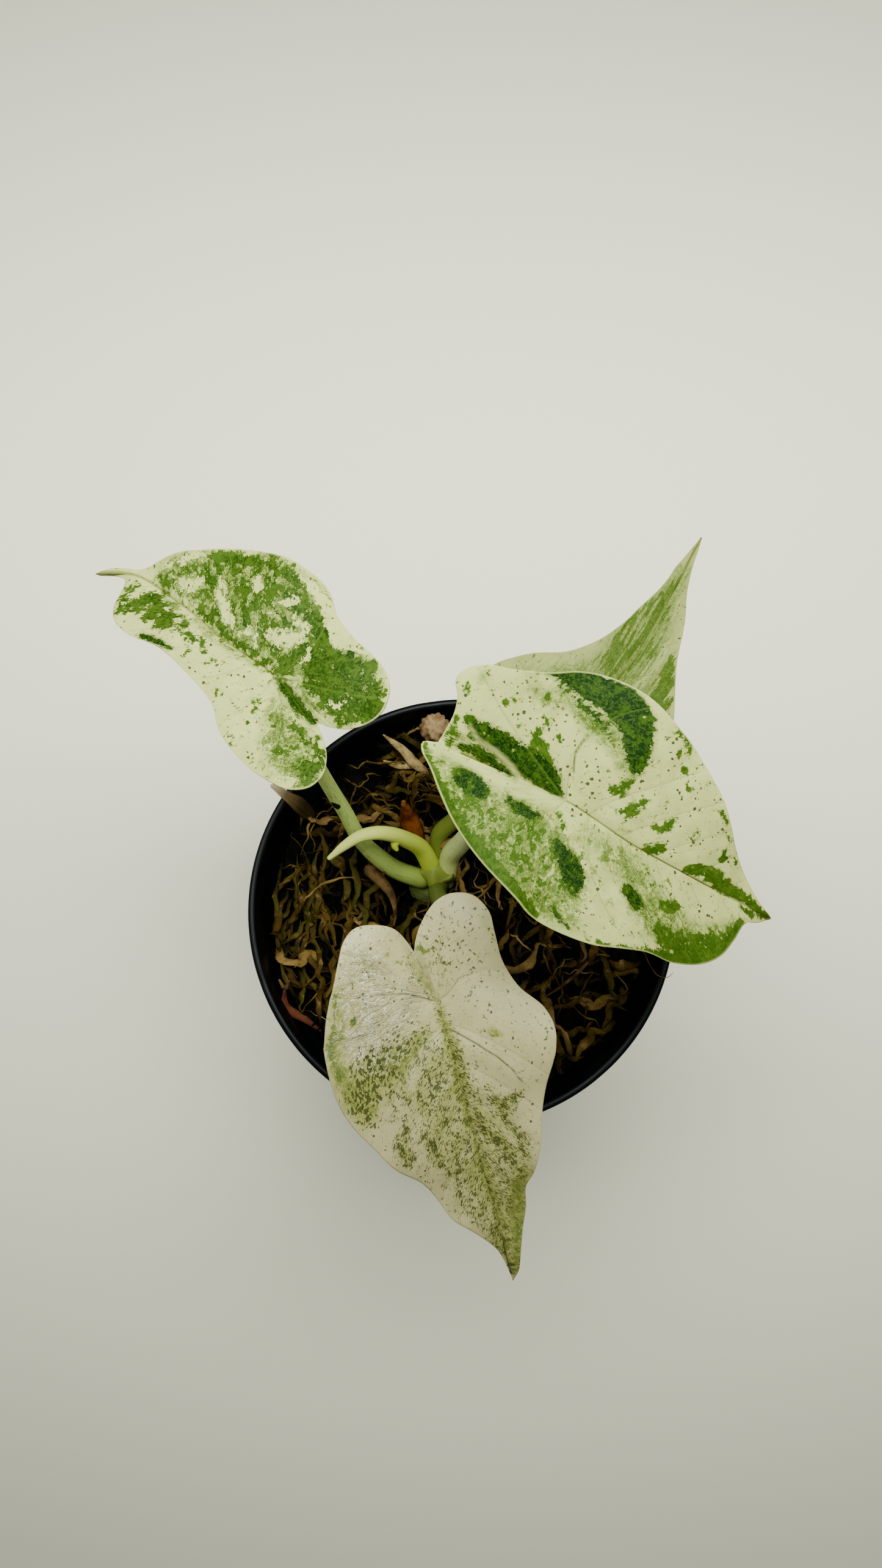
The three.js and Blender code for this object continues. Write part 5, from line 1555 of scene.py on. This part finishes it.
class MossTree:
    """The Geometry Nodes tree that lays strands over a ground mesh."""

    LENGTHS = ("length", "width", "arch", "lift", "wander", "leaf_length", "leaf_gap", "reach")
    NUMBERS = ("density", "bend_scale", "heading", "spread", "tint_low", "tint_high")

    def __init__(self, material: bpy.types.Material) -> None:
        """Builds the tree.

        Args:
            material: what every strand is made of.
        """
        self.tree = bpy.data.node_groups.new("moss strands", "GeometryNodeTree")
        face = self.tree.interface
        kinds = {name: "Float" for name in self.LENGTHS + self.NUMBERS}
        for name, kind in {"ground": "Geometry", **kinds, "seed": "Int", "centre": "Vector"}.items():
            face.new_socket(name, in_out="INPUT", socket_type=f"NodeSocket{kind}")
        face.new_socket("Geometry", in_out="OUTPUT", socket_type="NodeSocketGeometry")
        nodes = self.nodes = Nodes(self.tree)
        given = nodes.add("NodeGroupInput").outputs
        size = self.size = {name: Value(nodes, given[name]) for name in (*kinds, "seed")}
        ground = given["ground"]

        scatter = nodes.socket("GeometryNodeDistributePointsOnFaces", {"distribute_method": "RANDOM"},
                               {"Mesh": ground, "Density": size["density"], "Seed": size["seed"]}, "Points")
        away = nodes.distance(self.position(), given["centre"])
        outside = nodes.socket("FunctionNodeCompare", {"data_type": "FLOAT", "operation": "GREATER_THAN"},
                               {"A": away, "B": size["reach"]}, "Result")
        kept = nodes.socket("GeometryNodeDeleteGeometry", {"domain": "POINT"},
                            {"Geometry": scatter, "Selection": outside}, "Geometry")
        start, end = (nodes.vector(size["length"] * half, 0.0) for half in (-0.5, 0.5))
        line = nodes.socket("GeometryNodeCurvePrimitiveLine", {"mode": "POINTS"},
                            {"Start": start, "End": end}, "Curve")
        line = nodes.socket("GeometryNodeResampleCurve", {"mode": "COUNT"},
                            {"Curve": line, "Count": 30}, "Curve")
        heading = size["heading"] + self.random(size["spread"] * -1.0, size["spread"], 1)
        scale = nodes.vector(self.random(0.6, 1.3, 2), 1.0, 1.0)
        placed = self.place(kept, line, nodes.vector(0.0, 0.0, heading), scale)
        placed = self.store(placed, "INSTANCE", "tint", self.random(size["tint_low"], size["tint_high"], 3))
        placed = self.store(placed, "INSTANCE", "stout", self.random(0.6, 1.25, 4))
        draped = self.drape(self.geometry("RealizeInstances", Geometry=placed), ground)
        body = self.tube(draped)
        both = nodes.add("GeometryNodeJoinGeometry")
        for strands in (self.leaflets(draped), body):
            self.tree.links.new(strands, both.inputs["Geometry"])
        whole = self.geometry("RealizeInstances", Geometry=both.outputs["Geometry"])
        dressed = self.geometry("SetMaterial", Geometry=whole, Material=material)
        nodes.add("NodeGroupOutput", None, {"Geometry": dressed})

    def geometry(self, kind: str, **values: Socket | Value | Point | bpy.types.Material) -> Socket:
        """Adds a geometry node of this kind and gives the geometry that it makes."""
        return self.nodes.socket(f"GeometryNode{kind}", None, values, "Geometry")

    def place(self, points: Socket, shape: Socket, rotation: Socket, scale: Socket) -> Socket:
        """Puts a turned and scaled copy of a shape on each point."""
        values = {"Points": points, "Instance": shape, "Rotation": rotation, "Scale": scale}
        return self.nodes.socket("GeometryNodeInstanceOnPoints", None, values, "Instances")

    def position(self) -> Socket:
        """Gives each point's position."""
        return self.nodes.socket("GeometryNodeInputPosition", None, None, "Position")

    def share(self) -> Value:
        """Gives how far along its strand each point is, from 0 to 1."""
        return self.nodes.value("GeometryNodeSplineParameter", None, None, "Factor")

    def random(self, low: Value | float, high: Value | float, salt: int) -> Value:
        """A random number for each point, between low and high."""
        values = {"Min": low, "Max": high, "Seed": self.size["seed"] + salt * 101}
        return self.nodes.value("FunctionNodeRandomValue", {"data_type": "FLOAT"}, values, "Value")

    def store(self, geometry: Socket, domain: str, name: str, value: Value) -> Socket:
        """Keeps a number with each strand or point under this name."""
        return self.nodes.socket("GeometryNodeStoreNamedAttribute", {"data_type": "FLOAT", "domain": domain},
                                 {"Geometry": geometry, "Name": name, "Value": value}, "Geometry")

    def read(self, name: str) -> Value:
        """Reads a number that was kept with each strand."""
        return self.nodes.value("GeometryNodeInputNamedAttribute", {"data_type": "FLOAT"}, {"Name": name},
                                "Attribute")

    def drape(self, curves: Socket, ground: Socket) -> Socket:
        """Bends each strand at random, keeps it inside the pot and lays it on the ground.

        Args:
            curves: the straight strands.
            ground: the mesh that they lie on.

        Returns:
            The draped strands.
        """
        nodes, size = self.nodes, self.size
        x, y, _ = nodes.parts(self.position())
        bend = size["bend_scale"]
        spot = nodes.vector(x * bend, y * bend, self.read("tint") * 60 + size["seed"])
        values = {"Vector": spot, "Scale": 1.0, "Detail": 2.0}
        sway = nodes.socket("ShaderNodeTexNoise", None, values, "Color")
        sway_x, sway_y, sway_z = ((part - 0.5) * size["wander"] for part in nodes.parts(sway))
        x, y = x + sway_x, y + sway_y
        radius = (x * x + y * y).math("SQRT")
        inward = nodes.math("MINIMUM", POT_REACH * MM / nodes.larger(radius, 1e-4), 1.0)
        x, y = x * inward, y * inward
        values = {"Target Geometry": ground, "Source Position": nodes.vector(x, y, 0.12),
                  "Ray Direction": (0.0, 0.0, -1.0), "Ray Length": 0.2}
        level = nodes.parts(nodes.socket("GeometryNodeRaycast", None, values, "Hit Position"))[2]
        arch = (self.share() * math.pi).math("SINE") * size["arch"] * (self.read("stout") - 0.2)
        above = arch + size["lift"] + sway_z * 0.5
        moved = self.geometry("SetPosition", Geometry=curves, Position=nodes.vector(x, y, level + above))
        # Stores how high each point stands above the ground, which sets the painted shade of the finish.
        return self.store(moved, "POINT", "high", above / (PAINTED_SHADE_HEIGHT * MM))

    def tube(self, curves: Socket) -> Socket:
        """Gives each strand a flattened, lumpy and twisted body that tapers.

        Args:
            curves: the draped strands.

        Returns:
            Their bodies.
        """
        nodes = self.nodes
        lumps = nodes.noise(self.position(), 420.0, 4.0)
        twist = (nodes.noise(self.position(), 110.0, 1.0) - 0.5) * 7
        taper = (self.share() * 2.7 + 0.2).math("SINE") * self.read("stout") * self.size["width"] * 0.5
        ring = nodes.socket("GeometryNodeCurvePrimitiveCircle", {"mode": "RADIUS"},
                            {"Resolution": 7, "Radius": 1.0}, "Curve")
        flat = self.geometry("Transform", Geometry=ring, Scale=(1.0, 0.30, 1.0))
        level = nodes.socket("GeometryNodeSetCurveNormal", {"mode": "Z_UP"}, {"Curve": curves}, "Curve")
        turned = nodes.socket("GeometryNodeSetCurveTilt", None, {"Curve": level, "Tilt": twist}, "Curve")
        values = {"Curve": turned, "Profile Curve": flat, "Scale": taper * (lumps * 2.4 - 0.2),
                  "Fill Caps": True}
        return nodes.socket("GeometryNodeCurveToMesh", None, values, "Mesh")

    def leaflets(self, curves: Socket) -> Socket:
        """Sets small pointed leaflets along each strand.

        Args:
            curves: the draped strands.

        Returns:
            The leaflets.
        """
        nodes, long = self.nodes, self.size["leaf_length"]
        points = nodes.add("GeometryNodeCurveToPoints", {"mode": "LENGTH"},
                           {"Curve": curves, "Length": self.size["leaf_gap"]}).outputs
        cone = nodes.socket("GeometryNodeMeshCone", {"fill_type": "NONE"}, {
            "Vertices": 4, "Side Segments": 1, "Radius Top": 0.0, "Radius Bottom": long * 0.22, "Depth": long,
        }, "Mesh")
        leaf = self.geometry("Transform", Geometry=cone, Scale=(1.0, 0.25, 1.0))
        euler = nodes.vector(self.random(0.2, 0.8, 7), 0.0, self.random(0.0, math.tau, 8))
        turn = nodes.socket("FunctionNodeEulerToRotation", None, {"Euler": euler}, "Rotation")
        turned = nodes.socket("FunctionNodeRotateRotation", {"rotation_space": "LOCAL"},
                              {"Rotation": points["Rotation"], "Rotate By": turn}, "Rotation")
        scale = self.random(0.5, 1.3, 9)
        return self.place(points["Points"], leaf, turned, nodes.vector(scale, scale, scale))

    def grow(self, ground: bpy.types.Mesh, style: MossStyle) -> bpy.types.Object:
        """Grows one kind of strand on the ground.

        Args:
            ground: the mesh that they lie on.
            style: their sizes and number.

        Returns:
            A plain mesh object.
        """
        piece = bpy.data.objects.new(style.name, ground.copy())
        bpy.context.scene.collection.objects.link(piece)
        values = {name: getattr(style, name) * MM for name in self.LENGTHS}
        density = style.count / sum(face.area for face in ground.polygons)
        values.update(density=density, bend_scale=style.bend_scale / MM, heading=style.heading,
                      spread=style.spread, tint_low=style.tint[0], tint_high=style.tint[1], seed=style.seed,
                      centre=Vector(style.centre) * MM)
        modifier = piece.modifiers.new("strands", "NODES")
        modifier.node_group = self.tree
        for item in self.tree.interface.items_tree:
            if item.in_out == "INPUT" and item.name in values:
                modifier[item.identifier] = values[item.name]
        bake(piece)
        return piece


@dataclass
class MossBed:
    """The fill of sphagnum moss: its closed body and the strands that cover its top.

    hollow and dip are wells in its top, each with the place (x, y), the depth and the spread.
    """

    level: float = 65.0
    bump_height: float = 1.1
    floor: float = 1.9
    side: float = 4.0
    foot: float = 2.0
    gap: float = 0.3
    hollow: tuple[float, float, float, float] = (-12, 1, 6, 5)
    dip: tuple[float, float, float, float] = (-5.8, 8.4, 4.6, 7)
    rings: int = 60
    segments: int = 180
    # From the fine mat below to the stout strands on top.
    styles: tuple[MossStyle, ...] = (
        MossStyle("moss_mat", 300, 3, 12, 1.7, 0.6, -0.2, 8, 0.15, 1.7, 2.4, tint=(0.0, 0.5)),
        MossStyle("moss_strands", 80, 11, 17, 1.9, 3.0, 0.6, 13, 0.12, 2.4, 2.2, tint=(0.1, 0.95)),
        MossStyle("moss_fibres", 110, 19, 14, 0.45, 3.4, 0.8, 12, 0.14, 0.9, 4.0, tint=(0.3, 1.0)),
        MossStyle("moss_left", 240, 29, 22, 1.5, 3.4, 0.6, 9, 0.14, 2.0, 2.4, 1.5, 0.55,
                  (-26, -6, 66), 17.0, (0.0, 0.5)),
        MossStyle("moss_crown", 60, 43, 13, 1.6, 3.0, 2.2, 10, 0.14, 2.2, 2.2, 1.2, 1.2,
                  (5, 3, 66), 10.0, (0.62, 1.1)),
        MossStyle("moss_back", 140, 31, 15, 1.8, 3.2, 1.0, 11, 0.14, 2.4, 2.2, 0.2, 0.9,
                  (-12, 26, 66), 15.0, (0.5, 1.1)),
        MossStyle("moss_front", 150, 37, 16, 1.9, 3.0, 0.4, 11, 0.14, 2.4, 2.2, 0.8, 1.1,
                  (24, -20, 66), 18.0, (0.1, 0.8)),
    )

    def height(self, x: Array, y: Array) -> Array:
        """The height of the top at each place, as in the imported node, with finer bumps."""
        waves = np.sin(0.34 * x + 0.17 * y) + np.sin(0.13 * x - 0.43 * y + 1)
        waves = waves + np.sin(0.62 * x + 0.47 * y + 2)
        wells = sum(depth * np.exp(-((x - cx) ** 2 + (y - cy) ** 2) / (2 * spread**2))
                    for cx, cy, depth, spread in (self.hollow, self.dip))
        fine = 0.35 * np.sin(1.9 * x + 0.7 * y) * np.sin(1.5 * y - 0.9 * x + 2)
        fine = fine + 0.2 * np.sin(3.3 * x) * np.sin(3.7 * y)
        return self.level + self.bump_height * waves - wells + fine

    def ground(self, pot: Pot) -> tuple[Array, list[list[int]], list[list[int]]]:
        """The closed body.

        Args:
            pot: the pot that it fills.

        Returns:
            Its vertices, all its faces, and those of its top.
        """
        shoulder = self.level - self.side
        reach = pot.inner_radius(shoulder) - self.gap
        side = [(pot.inner_radius(self.floor) - self.foot, self.floor),
                (pot.inner_radius(self.floor + self.foot) - self.gap, self.floor + self.foot),
                (reach, shoulder)]
        top = [(reach * k / self.rings, 0) for k in range(self.rings, 0, -1)]
        points, faces = lathe([(0, self.floor), *side, *top, (0, 0)], self.segments)
        lower = len(side) * self.segments
        upper = np.r_[lower : len(points) - 2, len(points) - 1]
        points[upper, 2] = self.height(points[upper, 0], points[upper, 1])
        quads = (len(side) + len(top) - 1) * self.segments
        return points, faces, faces[lower:quads] + faces[quads + self.segments :]

    def build(self, pot: Pot) -> None:
        skin = MossFinish().material("sphagnum")
        points, faces, upper = self.ground(pot)
        # The bed stores no height, so the finish paints it all near-black: painted shade.
        declare(make_piece("moss_bed", points, faces, skin), "moss", "moss_fill")
        top = bpy.data.meshes.new("moss top")
        top.from_pydata((points * MM).tolist(), [], upper)
        tree = MossTree(skin)
        for style in self.styles:
            declare(tree.grow(top, style), "moss")


@dataclass
class LoosePieces:
    """The pale strand, the rolled moss head, the dry scrap on the rim and smaller litter."""

    head_centre: Point = (-5.6, 38.6, 74.6)
    head_radius: float = 3.2

    def pale_strand(self) -> bpy.types.Object:
        """Builds the pale forked strand."""
        route = ((-17, 37.2, 75), (-15.5, 36.4, 73), (-12.9, 34.8, 70.6), (-10.2, 32.1, 68.6),
                 (-7.4, 30.6, 66.6))
        main = Sweep(route, (0.2, 0.7, 1.1, 1.25, 0.7), 50, 16, 0.75, 5, 0.12)
        fork = ((-17.2, 32.6, 69.6), (-14.3, 31.8, 68.8), (-9.6, 32, 68.2))
        branch = Sweep(fork, (0.25, 0.9, 0.8), 30, 14, 0.7, 4, 0.12)
        straw = SpeckledFinish((0.38, 0.27, 0.11), (0.17, 0.105, 0.035), 420).material("pale straw")
        return join_sweeps("straw_fork", (main, straw), (branch, straw))

    def moss_head(self) -> bpy.types.Object:
        """Builds the rolled head as a ball of folded scales round a cupped top, on its short stem."""
        columns, rows = 48, 30
        lift = math.pi * (np.arange(1, rows) / rows - 0.5)[:, None]
        turn = math.tau * np.arange(columns) / columns
        fold = 0.10 * np.sin(5 * turn + 6.6 * lift) + 0.06 * np.sin(11 * turn - 5 * lift)
        cup = 0.32 * np.exp(-(((lift - math.pi / 2) / 0.45) ** 2))
        r = self.head_radius * (1 + fold * np.cos(lift) - cup)
        away = r * np.cos(lift)
        ball = np.stack([away * np.cos(turn), away * np.sin(turn), r * np.sin(lift)], -1)
        poles = [(0, 0, -self.head_radius), (0, 0, self.head_radius * (1 - 0.32))]
        ball = np.vstack([ball.reshape(-1, 3), poles]) + self.head_centre
        stem = Sweep(((-4.6, 34.2, 63), (-5, 36.4, 68.5), (-5.5, 37.9, 73)), (1.2, 1.5, 1.4), 20, 16)
        points, faces = join_meshes((ball, ring_faces(rows - 1, columns)), (stem.points, stem.faces))
        finish = SpeckledFinish((0.26, 0.17, 0.08), (0.13, 0.07, 0.03), 420)
        return make_piece("moss_roll", points, faces, finish.material("rolled moss"))

    def dry_scrap(self) -> bpy.types.Object:
        """Builds the papery scrap that hangs over the rim."""
        route = ((-40.7, 25.5, 77.7), (-37.5, 23.4, 77.2), (-35.4, 22.1, 75.6), (-34, 21.3, 71.5),
                 (-32.4, 20.2, 66.4))
        body = Sweep(route, (0.4, 1.0, 1.6, 1.5, 0.9), 50, 24, 0.20, 5, 0.28)
        finish = StalkFinish((0.46, 0.38, 0.22), (0.10, 0.062, 0.022), (0.030, 0.019, 0.006), 11,
                             (0.05, 0.030, 0.010), 0.9)
        return join_sweeps("scrap_paper", (body, finish.material("dry paper")))

    def litter(self) -> bpy.types.Object:
        """Builds the thin strands, hairs and slivers that lie on top of the moss."""
        red = SpeckledFinish((0.10, 0.030, 0.012), (0.05, 0.012, 0.006), 300).material("red strand")
        straw = SpeckledFinish((0.11, 0.062, 0.019), (0.03, 0.014, 0.004), 380).material("straw")
        pieces = (
            (red, (0.3, 1.0, 0.8, 0.25),
             ((-37.6, -17.2, 70), (-37.4, -21, 68), (-33.5, -23.5, 67), (-29.9, -26.1, 66))),
            (straw, (1.6, 1.3, 0.6, 0.2),
             ((-20.8, 9.4, 68), (-15.4, 3.4, 68), (-14.3, -1.2, 66.5), (-14.8, -4.1, 64.5))),
            (straw, (0.15, 0.35, 0.4, 0.35, 0.15),
             ((32.1, -10.3, 69), (28.9, -10, 69), (25.6, -13.2, 68), (21.6, -16.5, 67.5), (17.7, -19, 67))),
            (straw, (0.10, 0.11, 0.11, 0.11, 0.09, 0.06),
             ((37.6, -8.6, 69), (38.7, -9.8, 72), (39.2, -12.4, 75.4), (40.6, -14.6, 76.4), (42.6, -15, 76.3),
              (44, -13.9, 76.1))),
            (straw, (0.25, 0.5), ((-38.7, -15.2, 71), (-37.6, -17.2, 70.4))),
            (straw, (0.2, 0.5), ((-36.4, -15.4, 71), (-37.4, -17.4, 70.2))),
        )
        bodies = ((Sweep(route, radii, 36, 10, 0.6), skin) for skin, radii, route in pieces)
        return join_sweeps("litter", *bodies)

    def build(self) -> None:
        declare(self.pale_strand(), "straw", "pale_strand")
        declare(self.moss_head(), "straw", "moss_head")
        declare(self.dry_scrap(), "sheath", "dry_scrap")
        declare(self.litter(), "straw")


class PaperFinish(Finish):
    """The pale matt paper of the floor."""

    def paint(self, nodes: Nodes) -> dict:
        """Gives its plain colour."""
        return {"Base Color": (0.79, 0.755, 0.57), "Roughness": 0.85, "Specular IOR Level": 0.2}


@dataclass
class Studio:
    """The pale floor, the soft light from above and the camera above the pot.

    The camera's focal length and frame are in pixels of the picture that it matches.
    """

    camera_place: Point = (-4.35, -22.89, 313.70)
    camera_tilt: float = 11.62
    focal_pixels: float = 1850.0
    frame_pixels: float = 2569.0
    sensor: float = 36.0

    def floor(self) -> None:
        """Lays the plain floor."""
        bpy.ops.mesh.primitive_plane_add(size=6)
        floor = bpy.context.object
        floor.name = "floor"
        floor.data.materials.append(PaperFinish().material("pale paper"))

    def lamp(self, name: str, kind: str, place: Point, aim: Point, power: float,
             **settings: float | str) -> None:
        """Hangs a lamp.

        Args:
            name: its name.
            kind: its type.
            place: where it hangs, in metres.
            aim: the point that it faces.
            power: its power in watts.
            settings: further values of the lamp, by name.
        """
        data = bpy.data.lights.new(name, kind)
        for key, value in {"energy": power, "color": (0.93, 1.0, 0.98), **settings}.items():
            setattr(data, key, value)
        lamp = bpy.data.objects.new(name, data)
        lamp.location = place
        lamp.rotation_euler = (Vector(aim) - Vector(place)).to_track_quat("-Z", "Y").to_euler()
        lamp.visible_camera = False
        bpy.context.scene.collection.objects.link(lamp)

    def camera(self) -> None:
        """Sets the camera above the pot."""
        data = bpy.data.cameras.new("camera")
        data.lens = self.focal_pixels / self.frame_pixels * self.sensor
        data.sensor_width = self.sensor
        data.clip_start = 0.01
        camera = bpy.data.objects.new("camera", data)
        camera.location = Vector(self.camera_place) * MM
        camera.rotation_euler = (math.radians(self.camera_tilt), 0, 0)
        bpy.context.scene.collection.objects.link(camera)
        bpy.context.scene.camera = camera

    def build(self) -> None:
        """Sets up the floor, the world, the lamps and the camera."""
        self.floor()
        world = bpy.data.worlds.new("studio")
        world.use_nodes = True
        background = world.node_tree.nodes["Background"]
        background.inputs["Color"].default_value = (1.0, 0.99, 0.95, 1.0)
        background.inputs["Strength"].default_value = 0.18
        bpy.context.scene.world = world
        self.lamp("softbox", "AREA", (0.015, 0.11, 0.40), (0.015, 0.145, 0.0), 2.0, shape="RECTANGLE",
                  size=0.6, size_y=0.12, spread=math.radians(100))
        self.lamp("front sheen", "AREA", (0.03, -0.085, 0.50), (0.02, -0.07, 0.0), 0.06, shape="SQUARE",
                  size=0.10, spread=math.radians(70))
        self.lamp("crown light", "SPOT", (-0.07, 0.02, 0.50), (-0.013, 0.012, 0.075), 2.8,
                  shadow_soft_size=0.02, spot_size=math.radians(11), spot_blend=1.0)
        self.camera()


def main() -> None:
    """Builds every sub-assembly in order."""
    logging.basicConfig(level=logging.INFO, format="%(name)s %(message)s")
    Studio().build()
    pot = Pot()
    declare(pot.build(), "pot_plastic", "pot")
    MossBed().build(pot)
    blades = {"right": right_blade(), "left": left_blade(), "back": back_blade(), "front": front_blade()}
    for blade in blades.values():
        declare(blade.build(), "blade", blade.name)
    Stalks().build(blades)
    LoosePieces().build()
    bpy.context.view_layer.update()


if __name__ == "__main__":
    main()
